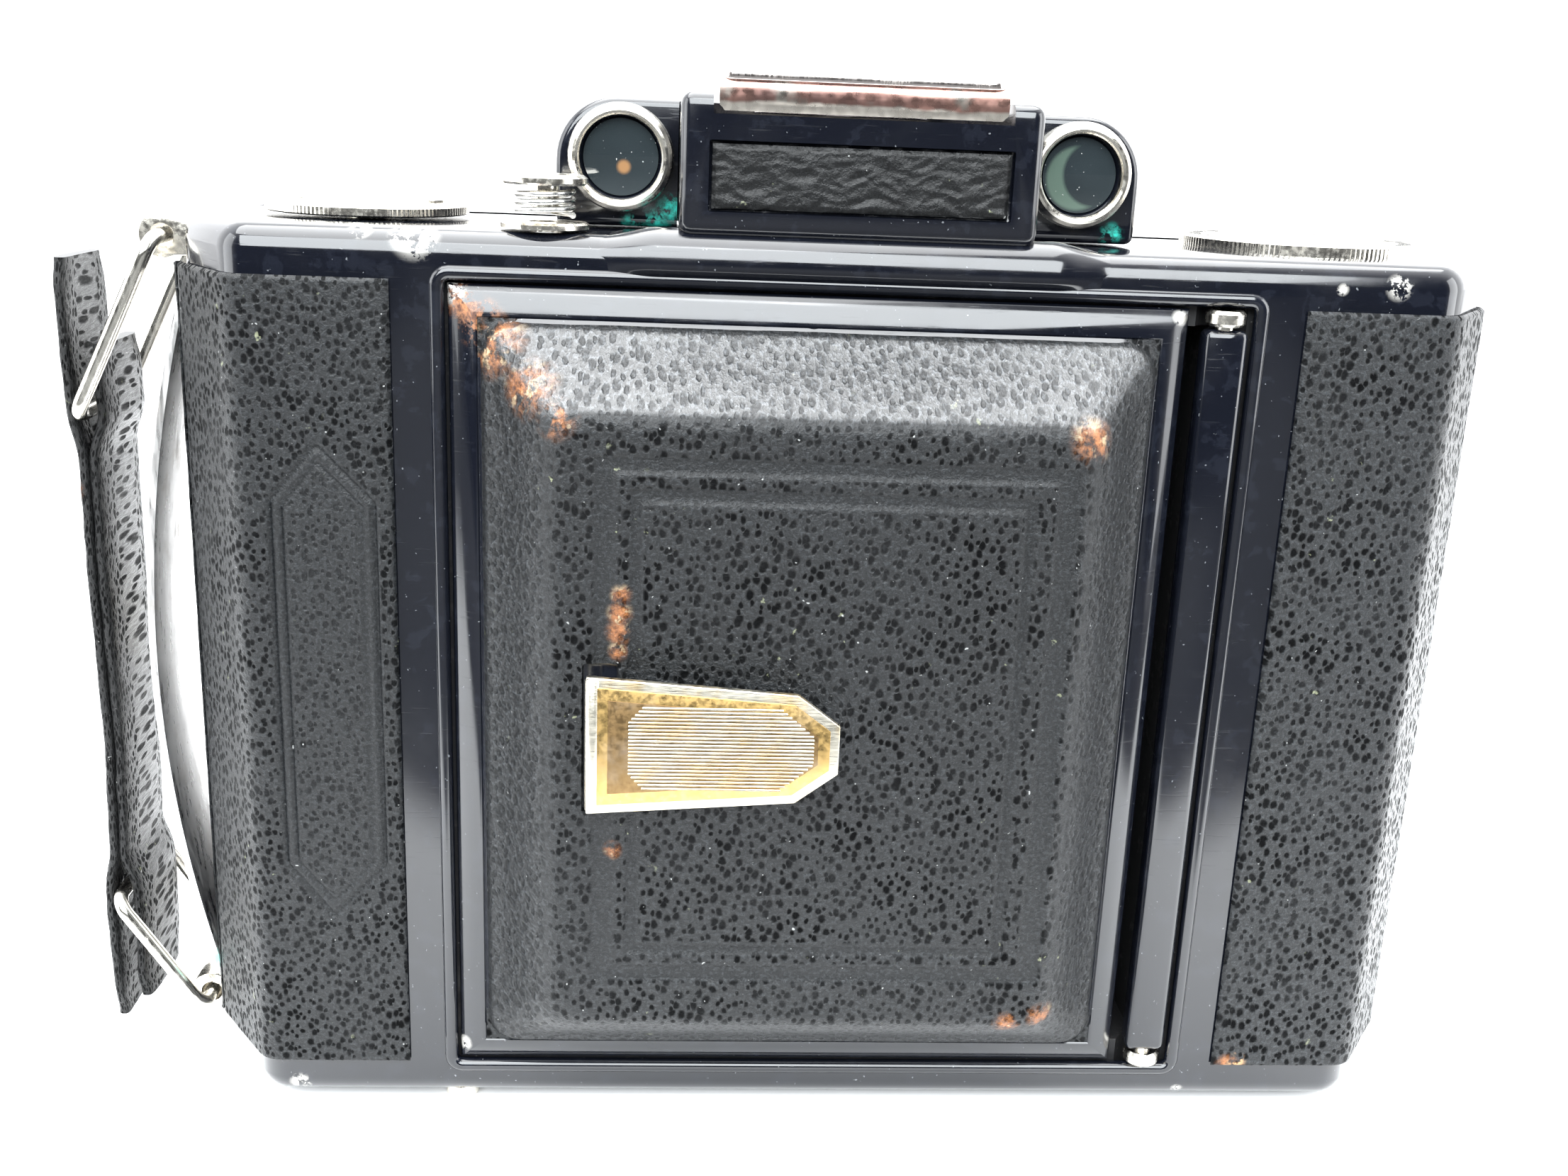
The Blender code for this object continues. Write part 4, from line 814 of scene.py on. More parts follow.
def make_camera():
    data = bpy.data.cameras.new("view")
    data.sensor_width = 36.0
    data.lens = 36.62
    data.clip_start = 0.01
    camera = linked("view", data)
    camera.location = mm(-15.3, -170.3, 102.9)
    camera.rotation_euler = [math.radians(a) for a in (73.821, -2.292, -3.002)]
    bpy.context.scene.camera = camera


# ---------------------------------------------------------------- case

def body_outline(grow=0.0):
    x, y = SIDE, -FRONT
    right = [(x - FACET_X, -y), (x, -y + FACET_Y), (x, y - FACET_Y), (x - FACET_X, y)]
    left = [(-px, py) for px, py in reversed(right)]
    return offset(right + left, grow)


def case_half(front):
    """Outer case on one side of the seam; the front one has the door's recess."""
    outer = prism(body_outline(), BASE, TOP, EDGE_R, 6)
    hollow = prism(body_outline(-WALL), BASE + WALL, TOP - WALL)
    if not front:
        return cut(outer, hollow, box((-REACH, -REACH, -REACH), (REACH, cover_low.y, REACH)))
    beyond = box((-REACH, SEAM_FRONT, -REACH), (REACH, REACH, REACH))
    half_w, half_h = RECESS_W / 2, RECESS_H / 2
    low = (-half_w, FRONT - WALL, MID_Z - half_h)
    recess = box(low, (half_w, FRONT + 2 * WALL, MID_Z + half_h))
    return cut(outer, hollow, beyond, recess)


def make_case():
    studs = (
        ("stud_front", "foot_front", -38.3, -16.5),
        ("stud_rear_left", "foot_rear_left", -38.3, 7),
        ("stud_rear_right", "foot_rear_right", 38.3, 7),
    )
    for name, node, x, y in studs:
        stud = lathe(in_mm((0, 0), (1.5, 0), (1.8, 0.4), (1.8, 1.6), (0, 1.6)), 32)
        piece(name, moved(stud, mm(x, y, 0)), NICKEL, "root", node)
    piece("case_front", case_half(True), ENAMEL, "root", "body_shell")
    outline = rectangle(RECESS_W, RECESS_H, 1.2 * MM, (0, 0), 5)
    lip = [Vector((x, FRONT + 0.35 * MM, MID_Z + z)) for x, z in outline]
    piece("recess_bead", wire(lip, 0.75 * MM, True, 14), ENAMEL_PLAIN, "root")
    piece("finder_pad", finder_pad(), ENAMEL_PLAIN, "root", None, 60)
    low = cover_low.z + 12 * MM
    third = (TOP - BASE - 24 * MM) / 3
    axis = (SIDE, BACK_HINGE_Y, 0)
    rooms = []
    for i in (0, 2):
        start, stop = low + third * i - 0.1 * MM, low + third * (i + 1) + 0.1 * MM
        rooms.append(moved(cylinder(1.75 * MM, start, stop, 32), axis))
    piece("case_back", cut(case_half(False), *rooms), ENAMEL_PLAIN, "back", "back_cover")
    for i in range(3):
        tube = barrel(1.6 * MM, 0, third - 0.4 * MM, 24, 0.2 * MM, 0.2 * MM)
        moved(tube, (SIDE, BACK_HINGE_Y, low + third * i + 0.2 * MM))
        body = "back" if i == 1 else "root"
        piece("back_knuckle_%d" % i, tube, ENAMEL_PLAIN, body)


def finder_pad():
    """Raised pad that swells out of the top edge under the finder."""
    face, flat = 2.0 * MM, 5.0 * MM
    round_length = EDGE_R * math.pi / 2
    half = 24 * MM

    def place(u, v):
        x = half * (2 * u - 1)
        along = v * (face + round_length + flat)
        if along < face:
            spot = Vector((FRONT, TOP - EDGE_R - face + along))
            out = Vector((-1, 0))
        elif along < face + round_length:
            angle = (along - face) / EDGE_R
            out = Vector((-math.cos(angle), math.sin(angle)))
            spot = Vector((FRONT + EDGE_R, TOP - EDGE_R)) + out * EDGE_R
        else:
            spot = Vector((FRONT + EDGE_R + along - face - round_length, TOP))
            out = Vector((0, 1))
        rise = s_curve((half - abs(x)) / (5.5 * MM)) * s_curve(along / (1.7 * MM))
        spot = spot + out * (1.0 * MM * rise - 0.05 * MM)
        on_top = along > face + round_length
        return (x, spot.x, min(spot.y, TOP + 0.28 * MM) if on_top else spot.y)

    sheet = grid((2 * half, face + round_length + flat), 0.3 * MM, place)
    return thick(sheet, 0.3 * MM, (0, -1, 1))


def rounded_path(corners, radius, count=8):
    """An open polyline with its inner corners rounded."""
    path = [Vector(corners[0])]
    for before, here, after in zip(corners, corners[1:], corners[2:]):
        here = Vector(here)
        back = (Vector(before) - here).normalized()
        ahead = (Vector(after) - here).normalized()
        reach = radius / math.tan(back.angle(ahead) / 2)
        start, end = here + back * reach, here + ahead * reach
        for i in range(count + 1):
            t = i / count
            path.append((1 - t) ** 2 * start + 2 * t * (1 - t) * here + t * t * end)
    path.append(Vector(corners[-1]))
    return path


class Path:
    """Point and direction at a distance along an open polyline."""

    def __init__(self, points):
        self.points = points
        self.marks = [0.0]
        for a, b in zip(points, points[1:]):
            self.marks.append(self.marks[-1] + (b - a).length)
        self.length = self.marks[-1]

    def at(self, distance):
        distance = min(max(distance, 0.0), self.length)
        i = 0
        while i < len(self.points) - 2 and self.marks[i + 1] < distance:
            i += 1
        a, b = self.points[i], self.points[i + 1]
        share = (distance - self.marks[i]) / max(self.marks[i + 1] - self.marks[i], 1e-9)
        return a.lerp(b, share), (b - a).normalized()


def segment_distance(point, a, b):
    along = b - a
    share = max(0.0, min(1.0, (point - a).dot(along) / along.length_squared))
    return (point - a - along * share).length


HEX = in_mm((-50.5, 72.2), (-55.0, 66.7), (-55.0, 28.8), (-50.5, 23.0), (-45.2, 28.8), (-45.2, 66.7))
HEX = [Vector(corner) for corner in HEX]
HEX_SIDES = list(zip(HEX, HEX[1:] + HEX[:1]))


def hexagon_relief(x, z):
    """Two pressed lines round the empty long hexagon: the height and how smooth it is."""
    point = Vector((x, z))
    nearest = min(segment_distance(point, a, b) for a, b in HEX_SIDES)
    height = groove(nearest, 0.8 * MM, 0.34 * MM)
    if any((b - a).cross(point - a) < 0 for a, b in HEX_SIDES):
        return height, 1 - s_curve((nearest - 0.3 * MM) / (0.3 * MM))
    height += groove(nearest - 1.1 * MM, 0.6 * MM, 0.24 * MM)
    height -= 0.05 * MM * s_curve(nearest / (1.2 * MM))
    return height, 1.0 if nearest < 1.5 * MM else 0.45


def leather_panel(name, side, end_y, finish, node):
    """Leather over one end of the front: face, facet and side, with pressed lines."""
    low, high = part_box(node)
    x, y = SIDE + 0.15 * MM, -FRONT + 0.15 * MM
    grow = 0.35 * MM
    corners = [
        (side * 43.3 * MM, -y - grow),
        (side * (x - FACET_X + 0.15 * MM), -y - grow),
        (side * (x + grow), -y + FACET_Y - 0.1 * MM),
        (side * (x + grow), end_y),
    ]
    path = Path(rounded_path(corners, 3.2 * MM, 10))
    tall = high.z - low.z

    def place(u, v):
        spot, along = path.at(u * path.length)
        out = Vector((along.y, -along.x)) * side
        edge = edge_distance(u, v, path.length, tall)
        height = 0.12 * MM - 0.35 * MM * (1 - s_curve(edge / (0.28 * MM)))
        height += 0.05 * MM * noise.noise(Vector((u * 9, v * 22, side)))
        height += 0.02 * MM * noise.noise(Vector((u * 60, v * 150, side)))
        z = low.z + tall * v
        flat = 0.0
        if side < 0 and spot.x > -57.5 * MM:
            relief, flat = hexagon_relief(spot.x, z)
            height += relief
        spot = spot + out * height
        return (spot.x, spot.y, z, flat)

    sheet = grid((path.length, tall), FINE, place)
    piece(name, thick(sheet, COVER_T, (side * 0.5, -1, 0)), finish, "root", node, 60)


# ---------------------------------------------------------------- door

DOOR_MIDDLE = ((door_low.x + door_high.x) / 2, (door_low.z + door_high.z) / 2)
DOOR_SIZE = (door_high.x - door_low.x, door_high.z - door_low.z)
# the pressed borders on the raised panel, from the outer one in: left, right, low, high
RECTS = [
    mm(-23.8, 20.8, 21.3, 74.1),
    mm(-22.0, 18.7, 23.0, 72.5),
    mm(-20.6, 16.9, 24.3, 71.2),
    mm(-19.5, 15.9, 25.3, 69.8),
]


def gaps(x, z):
    """Distances from the door's nearer side and nearer end, positive inside."""
    across = DOOR_SIZE[0] / 2 - abs(x - DOOR_MIDDLE[0])
    return across, DOOR_SIZE[1] / 2 - abs(z - DOOR_MIDDLE[1])


def slope_inset(x, z):
    """Distance inside the door's frame, with its mitres softened."""
    across, up = gaps(x, z)
    h = max(MITRE - abs(across - up), 0.0) / MITRE
    return min(across, up) - h * h * MITRE * 0.25 - DOOR_FRAME


def rect_inset(x, z, rect):
    left, right, low, high = rect
    return min(x - left, right - x, z - low, high - z)


def door_relief(x, z):
    """Height of the pressed borders on the raised panel."""
    soft = 0.22 * MM
    steps = [s_curve(rect_inset(x, z, rect) / soft) for rect in RECTS]
    rim = groove(rect_inset(x, z, RECTS[1]), 0.4 * MM, -0.07 * MM)
    rim += groove(rect_inset(x, z, RECTS[3]), 0.4 * MM, -0.07 * MM)
    return -0.26 * MM * max(steps[0] * (1 - steps[1]), steps[2] * (1 - steps[3])) + rim


def pressed_band(x, z):
    """1 in the smooth pressed borders and on their steps, 0 in the grain."""
    soft, rim = 0.15 * MM, 0.35 * MM
    flat = 0.0
    for outer, inner in ((RECTS[0], RECTS[1]), (RECTS[2], RECTS[3])):
        across = s_curve(rect_inset(x, z, outer) / soft)
        flat = max(flat, across * (1 - s_curve((rect_inset(x, z, inner) - rim) / soft)))
    return flat


def slope_height(x, z):
    """The S-shaped rise to the raised panel, from the frame's inner edge."""
    inset = slope_inset(x, z)
    rise = FRONT - DOOR_FRAME_RISE - panel_low.y - 0.45 * MM
    step = s_curve(inset / (0.9 * MM))
    return rise * (0.12 * step + 0.88 * s_curve(inset / DOOR_SLOPE * 0.97 + 0.03))


def smooth_and_painted_sheen_on_slopes(x, z):
    """How far the slopes round the raised panel are drawn smooth and given a painted sheen, most on
    the upper one, which faces the overhead light.
    """
    inset = slope_inset(x, z)
    on_slope = s_curve(inset / (1.0 * MM)) * s_curve((DOOR_SLOPE - inset) / (2.4 * MM))
    top_gap = DOOR_MIDDLE[1] + DOOR_SIZE[1] / 2 - z
    upper = s_curve(0.5 + (gaps(x, z)[0] - top_gap) / (2.0 * MM))
    return on_slope * (1.3 + 0.7 * upper)


def over_door(extra, step, facing, place):
    """A sheet inside the door's frame, extra wider than its opening; place(x, z)."""
    width, tall = (length - 2 * DOOR_FRAME + extra for length in DOOR_SIZE)
    left, low = DOOR_MIDDLE[0] - width / 2, DOOR_MIDDLE[1] - tall / 2
    sheet = grid((width, tall), step, lambda u, v: place(left + width * u, low + tall * v))
    return thick(sheet, COVER_T, (0, facing, 0))


def make_door():
    face = FRONT - DOOR_FRAME_RISE
    profile = [
        (DOOR_FRAME, face + 0.9 * MM),
        (0.0, FRONT + 1.3 * MM),
        (0.0, FRONT + 0.55 * MM),
        (0.18 * MM, FRONT + 0.22 * MM),
        (0.5 * MM, FRONT),
        (DOOR_FRAME - 0.5 * MM, face + 0.05 * MM),
        (DOOR_FRAME - 0.15 * MM, face - 0.02 * MM),
        (DOOR_FRAME + 0.1 * MM, face + 0.2 * MM),
        (DOOR_FRAME + 0.5 * MM, face + 0.5 * MM),
    ]
    shape = bmesh.new()
    rings = []
    for inset, y in profile:
        outline = rectangle(DOOR_SIZE[0] - 2 * inset, DOOR_SIZE[1] - 2 * inset, 0.0, DOOR_MIDDLE)
        rings.append([shape.verts.new((x, y, z)) for x, z in outline])
    for a, b in zip(rings, rings[1:] + rings[:1]):
        band(shape, a, b)
    bmesh.ops.recalc_face_normals(shape, faces=shape.faces)
    piece("door_frame", shape, DOOR_ENAMEL, "door", "door_shell", 20)

    def pressing(x, z):
        return (x, face + 0.95 * MM - slope_height(x, z), z)

    made = over_door(0.6 * MM, 0.9 * MM, 1, pressing)
    piece("door_pressing", made, ENAMEL_PLAIN, "door", None, 60)

    def covering(x, z):
        height = slope_height(x, z)
        height += 0.06 * MM * noise.noise(Vector((x * 160, 3.1, z * 160)))
        height += 0.025 * MM * noise.noise(Vector((x * 700, 8.3, z * 700)))
        y = face + 0.05 * MM - (height + door_relief(x, z))
        if -24.7 * MM < x < -21.6 * MM and abs(z - MID_Z) < 7.2 * MM:
            y += 0.9 * MM  # the slot that the tongue hinges in
        return (x, y, z, max(pressed_band(x, z), smooth_and_painted_sheen_on_slopes(x, z)))

    made = over_door(0.0, FINE, -1, covering)
    piece("door_covering", made, DOOR_LEATHER, "door", "door_leather", 60)


def make_hinge_bar():
    low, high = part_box("hinge_bar")
    outline = rectangle(high.x - low.x, high.y - low.y, 0.0, middle_of(low, high)[:2])
    bar = prism(outline, low.z, high.z, 0.75 * MM, 3)
    piece("bar_on_hinge", bar, ENAMEL_PLAIN, "door", "hinge_bar")
    head, edge = 1.5 * MM, 0.3 * MM
    pins = [
        barrel(1.9 * MM, pin_low.z, pin_low.z + head, 40, edge, edge),
        barrel(1.9 * MM, pin_high.z - head, pin_high.z, 40, edge, edge),
        cylinder(0.9 * MM, pin_low.z, pin_high.z, 20),
    ]
    x, y = middle_of(pin_low, pin_high)[:2]
    piece("pin_of_hinge", moved(merged(*pins), (x, y, 0)), NICKEL, "root", "hinge_pin")


TONGUE_HINGE_X = -23.6 * MM


def tongue_outline(grow=0.0):
    low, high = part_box("stand_tongue")
    shoulder = TONGUE_HINGE_X + 19 * MM
    upper = [(low.x + 0.15 * MM, 6.8 * MM), (shoulder, 5.4 * MM), (high.x, 2.4 * MM)]
    return offset([(x, -z) for x, z in upper] + upper[::-1], grow)


def make_tongue():
    low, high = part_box("stand_tongue")
    ribs = []
    count = 23
    for i in range(count):
        z = -4.0 * MM + 8.0 * MM * i / (count - 1)
        left = -20.3 * MM + max(0.0, abs(z) - 2.6 * MM) * 0.9
        right = -3.0 * MM - max(0.0, abs(z) - 1.4 * MM) * 1.15
        start, stop = (left, z - 0.11 * MM, 0.90 * MM), (right, z + 0.11 * MM, 1.0 * MM)
        ribs.append(box(start, stop, 0.05 * MM, 1))
    plate = prism(tongue_outline(), 0, 0.72 * MM, 0.14 * MM, 3)
    step = prism(tongue_outline(-0.9 * MM), 0.70 * MM, 0.86 * MM, 0.06 * MM, 2)
    panel = prism(tongue_outline(-2.0 * MM), 0.80 * MM, 0.91 * MM, 0.05 * MM, 2)
    shown = (
        ("tongue_plate_shown", plate, TONGUE_METAL, "stand_tongue"),
        ("tongue_step", step, TONGUE_BRASS, None),
        ("tongue_panel", panel, TONGUE_GRIME, None),
        ("tongue_ribs", merged(*ribs), TONGUE_METAL, None),
    )
    for name, shape, finish, node in shown:
        piece(name, moved(forward(shape), (0, low.y + 1.0 * MM, MID_Z)), finish, "tongue", node)
    roll = barrel(0.74 * MM, -6.6 * MM, 6.6 * MM, 24, 0.12 * MM, 0.2 * MM)
    moved(roll, (TONGUE_HINGE_X, high.y - 0.76 * MM, MID_Z))
    piece("tongue_roll", roll, TONGUE_METAL, "tongue")


# ---------------------------------------------------------------- finder and range finder

def make_housing():
    low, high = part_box("rf_housing")
    half, tall, radius = high.x, high.z - low.z, 6.0 * MM
    outline = [(half, 0.0)]
    outline += arc((half - radius, tall - radius), radius, 0, 90, 12)
    outline += arc((radius - half, tall - radius), radius, 90, 180, 12)
    outline.append((-half, 0.0))
    shape = forward(prism(outline, 0, high.y - low.y, 0.8 * MM, 4, 40))
    moved(shape, (0, high.y, low.z))
    finder_low, finder_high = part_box("finder_box")
    gap = 0.25 * MM
    block = box(
        (finder_low.x - gap, low.y - MM, low.z - MM),
        (finder_high.x + gap, finder_high.y + gap, high.z + MM),
    )
    piece("housing_lobes", cut(shape, block), HOUSING, "root", "rf_housing")
    make_finder(finder_low, finder_high)
    make_window("left", GLASS_LEFT)
    make_window("right", GLASS_RIGHT)
    make_eyepiece()


def make_finder(low, high):
    inset_low, inset_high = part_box("finder_leather")
    half = inset_high.x
    seat = box((-half, low.y - MM, high.z - 1.9 * MM), (half, high.y + MM, high.z + MM))
    edge = 0.3 * MM
    notch = box(
        (inset_low.x - edge, low.y - MM, inset_low.z - edge),
        (inset_high.x + edge, low.y + 0.8 * MM, inset_high.z + edge),
        0.2 * MM,
        2,
    )
    made = cut(box(low, high, 1.2 * MM, 4), seat, notch)
    piece("finder_case", made, ENAMEL_PLAIN, "root", "finder_box")
    width, tall = inset_high.x - inset_low.x, inset_high.z - inset_low.z

    def place(u, v):
        x, z = inset_low.x + width * u, inset_low.z + tall * v
        sway = 0.9 * noise.noise(Vector((x * 320, 0, 9)))
        wave = 1 - 2.4 * abs(noise.noise(Vector((x * 380, 1.7, z * 950 + sway))))
        wave += 0.5 * noise.noise(Vector((x * 1100, 4.1, z * 1900)))
        height = 0.22 * MM * s_curve(edge_distance(u, v, width, tall) / (0.5 * MM))
        return (x, inset_low.y + 0.40 * MM - (height + 0.13 * MM * wave), z, 0.9)

    sheet = thick(grid((width, tall), 0.16 * MM, place), 0.3 * MM, (0, -1, 0))
    piece("finder_inset", sheet, INSET_LEATHER, "root", "finder_leather", 60)


def make_window(name, glass):
    low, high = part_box("rf_rim_" + name)
    x, _, z = middle_of(low, high)
    centre = (x, high.y, z)
    outer, depth, bore = (high.x - low.x) / 2, high.y - low.y, 4.0 * MM
    profile = [
        (outer, 0),
        (outer, depth * 0.55),
        (outer - 0.15 * MM, depth * 0.8),
        (outer - 0.5 * MM, depth * 0.97),
        (outer - 0.75 * MM, depth),
        (bore + 0.15 * MM, depth * 0.96),
        (bore, depth * 0.86),
        (bore, 0),
    ]
    rim = moved(forward(lathe(profile, 72, True)), centre)
    piece("window_rim_" + name, rim, RIM, "root", "rf_rim_" + name, 25)
    seat = lathe(in_mm((3.98, 0.5), (3.98, 1.0), (3.7, 0.55), (3.7, 0.5)), 64, True)
    piece("window_seat_" + name, moved(forward(seat), centre), ENAMEL_PLAIN, "root")
    pane = lathe(in_mm((0, 0.1), (3.65, 0.1), (3.65, 0.72), (2, 0.80), (0, 0.84)), 64)
    pane = moved(forward(pane), centre)
    piece("window_pane_" + name, pane, glass, "root", "rf_window_" + name)


def make_eyepiece():
    low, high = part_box("rf_eyepiece")
    x, _, z = middle_of(low, high)
    centre = (x, low.y, z)
    outer, depth, edge = (high.x - low.x) / 2, high.y - low.y, 0.4 * MM
    profile = [(outer, 0), (outer, depth - edge), (outer - edge, depth)]
    profile += [(1.6 * MM, depth), (1.2 * MM, depth - edge), (1.2 * MM, 0)]
    ring = moved(backward(lathe(profile, 56, True)), centre)
    piece("eyepiece_ring", ring, NICKEL, "root", "rf_eyepiece")
    pane = backward(lathe(in_mm((0, 0.2), (1.15, 0.2), (1.15, 0.8), (0, 0.9)), 32))
    piece("eyepiece_pane", moved(pane, centre), GLASS_RIGHT, "root")


def make_sights():
    plate_t = 0.8 * MM
    low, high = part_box("front_sight")
    width, depth, tall = high.x - low.x, high.y - low.y, high.z - low.z - 0.06 * MM
    middle_y = (low.y + high.y) / 2
    outline = rectangle(width, depth, 1.6 * MM, (0, middle_y), 8)
    hole = (0, middle_y + 0.5 * MM)
    hole = rectangle(width - 5 * MM, depth - 5 * MM, 1.0 * MM, hole, 8)
    top = prism(outline, high.z - plate_t, high.z, 0.2 * MM, 3)
    top = cut(top, prism(hole, high.z - 2 * MM, high.z + MM))
    piece("sight_plate_front", top, SIGHT, "sight_front", "front_sight")

    def place(u, v):
        corner = max(0.0, (v - 0.72) / 0.28)
        narrow = 1.1 * MM * (1 - math.sqrt(max(0.0, 1 - corner**2)))
        narrow += 0.5 * MM * (1 - s_curve(v * 6))
        ripple = 0.10 * MM * math.sin(u * 14.0 + 0.7) * s_curve(v * 2) * s_curve(2 - 2 * v)
        back = 1.5 * MM * s_curve((v - 0.55) / 0.9) + 0.35 * MM * s_curve(1 - v * 2.4)
        x = low.x + narrow + (width - 2 * narrow) * u
        return (x, low.y + 0.12 * MM + ripple + back, low.z + tall * v)

    lip = thick(grid((width, tall), 0.25 * MM, place), 0.4 * MM, (0, -1, 0))
    piece("sight_lip_front", lip, SIGHT_LIP, "sight_front", None, 60)
    low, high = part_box("rear_sight")
    middle_y = (low.y + high.y) / 2
    outline = rectangle(high.x - low.x, high.y - low.y, 1.2 * MM, (0, middle_y), 8)
    plate = prism(outline, high.z - plate_t, high.z, 0.2 * MM, 3)
    eye = moved(cylinder(2 * MM, -MM, MM, 40), (0, middle_y, high.z))
    foot_low = (-9.3 * MM, high.y - plate_t, low.z)
    foot = box(foot_low, (9.3 * MM, high.y, high.z - 0.4 * MM), 0.2 * MM, 2)
    shape = boolean(plate, ("DIFFERENCE", eye), ("UNION", foot))
    piece("sight_plate_rear", shape, SIGHT, "sight_rear", "rear_sight")


# ---------------------------------------------------------------- controls on the top

def gear_disc(radius, low, high, teeth):
    """A disc with a knurled rim and bevelled edges."""
    depth, bevel = 0.05 * MM, 0.25 * MM
    outline = []
    for i in range(teeth * 4):
        angle = 2 * math.pi * i / (teeth * 4)
        r = radius - (depth if i % 4 in (2, 3) else 0)
        outline.append((r * math.cos(angle), r * math.sin(angle)))
    shape = bmesh.new()
    rings = []
    for inset, z in ((bevel, low), (0, low + bevel * 0.6), (0, high - bevel * 0.6), (bevel, high)):
        share = 1 - inset / radius
        rings.append([shape.verts.new((x * share, y * share, z)) for x, y in outline])
    return capped(shape, rings)


def tick(angle, inner, outer, low, high, half):
    """A radial mark on a dial."""
    return spun(box((inner, -half, low), (outer, half, high)), angle)


def make_knob():
    low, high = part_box("wind_knob")
    x, y = middle_of(low, high)[:2]
    radius, top = (high.x - low.x) / 2, high.z
    disc = gear_disc(radius, top - 1.2 * MM, top - 0.2 * MM, 140)
    foot, crown = top - 0.4 * MM, top - 0.02 * MM
    step = [(0, foot), (radius - 1.4 * MM, foot), (radius - 1.6 * MM, crown), (0, crown)]
    shape = merged(disc, lathe(step, 72), cylinder(2.2 * MM, low.z, top - MM, 32))
    piece("knob_disc", moved(shape, (x, y, 0)), NICKEL, "knob", "wind_knob")
    low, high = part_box("wind_grip")
    width = high.y - low.y
    middle = middle_of(low, high)[:2]
    outline = rectangle(high.x - low.x, width, width / 2 - 0.01 * MM, middle, 10)
    grip = prism(outline, low.z, high.z, 0.15 * MM, 2)
    piece("knob_grip_plate", grip, NICKEL, "knob_grip", "wind_grip")


def make_dial():
    low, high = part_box("depth_dial")
    x, y = middle_of(low, high)[:2]
    radius, top = (high.x - low.x) / 2, high.z - 0.14 * MM
    disc = gear_disc(radius, low.z + 0.1 * MM, top, 150)
    hub = cylinder(5 * MM, low.z, low.z + 0.4 * MM, 32)
    sunk, proud = top - 0.05 * MM, top + 0.03 * MM
    boss = [(0, top - 0.1 * MM), (2.6 * MM, top - 0.1 * MM), (2.4 * MM, high.z), (0, high.z)]
    shape = moved(merged(disc, hub, lathe(boss, 40)), (x, y, 0))
    piece("dial_disc", shape, NICKEL, "dial", "depth_dial")
    marks = []
    for i in range(48):
        angle = 2 * math.pi * i / 48
        inner = radius - (3.4 if i % 6 == 0 else 2.2) * MM
        marks.append(tick(angle, inner, radius - 0.9 * MM, sunk, top + 0.04 * MM, 0.09 * MM))
    for inner in (4.2 * MM, 6.6 * MM):
        outer = inner + 0.16 * MM
        circle = [(inner, sunk), (outer, sunk), (outer, proud), (inner, proud)]
        marks.append(lathe(circle, 72, True))
    piece("dial_marks", moved(merged(*marks), (x, y, 0)), ENAMEL_PLAIN, "dial")


def make_release():
    low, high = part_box("release_button")
    x, y = middle_of(low, high)[:2]
    radius, top = (high.x - low.x) / 2, high.z
    cap = [
        (0, low.z),
        (1.3 * MM, low.z),
        (1.3 * MM, top - 1.0 * MM),
        (radius - 0.15 * MM, top - 1.0 * MM),
        (radius, top - 0.8 * MM),
        (radius, top - 0.35 * MM),
        (radius - 0.4 * MM, top - 0.05 * MM),
        (radius * 0.7, top - 0.10 * MM),
        (radius * 0.35, top - 0.22 * MM),
        (0, top - 0.28 * MM),
    ]
    cap = moved(lathe(cap, 56), (x, y, 0))
    piece("release_cap", cap, NICKEL, "button", "release_button")
    low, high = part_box("release_collar")
    radius, bore = (high.x - low.x) / 2, 1.5 * MM
    seat = [(bore, low.z), (radius, low.z), (radius, high.z - 0.2 * MM)]
    seat += [(radius - 0.3 * MM, high.z), (bore, high.z)]
    seat = moved(lathe(seat, 48, True), (x, y, 0))
    piece("release_seat", seat, NICKEL, "root", "release_collar")
    low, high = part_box("release_spring")
    turns, steps = 3, 84
    edge = 0.3 * MM  # the wire's radius
    coil_r = (high.x - low.x) / 2 - edge
    points = []
    for i in range(steps + 1):
        t = i / steps
        angle = 2 * math.pi * turns * t
        z = low.z + edge + (high.z - low.z - 2 * edge) * t
        points.append((x + coil_r * math.cos(angle), y + coil_r * math.sin(angle), z))
    made = piece("release_coil", wire(points, 0.29 * MM), STEEL, None, "release_spring")
    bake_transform(made)


# ---------------------------------------------------------------- left side

def make_side():
    low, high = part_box("side_plate")
    half, middle_z = (high.z - low.z) / 2, (high.z + low.z) / 2
    plate_t, half_y, count = 0.8 * MM, 9.5 * MM, 40
    bow = high.x - low.x - plate_t
    outline = []
    for i in range(count + 1):
        t = 2 * i / count - 1
        outline.append((high.x - bow * (1 - t * t), t * half + middle_z))
    outer = [(x - plate_t, z) for x, z in reversed(outline)]
    shape = forward(prism(outline + outer, -half_y, half_y, 0.16 * MM, 2, 40))
    piece("carry_plate", shape, SIDE_METAL, "root", "side_plate")
    for name, up in (("top", 1), ("bottom", -1)):
        make_lug(name, up)
        make_ring_shape(name, up)
    make_latch()


def lug_eye(name, up):
    """Middle of the eye that a strap ring hangs in."""
    low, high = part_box("lug_" + name)
    return Vector((low.x + EYE_R, 0, high.z - EYE_R if up > 0 else low.z + EYE_R))


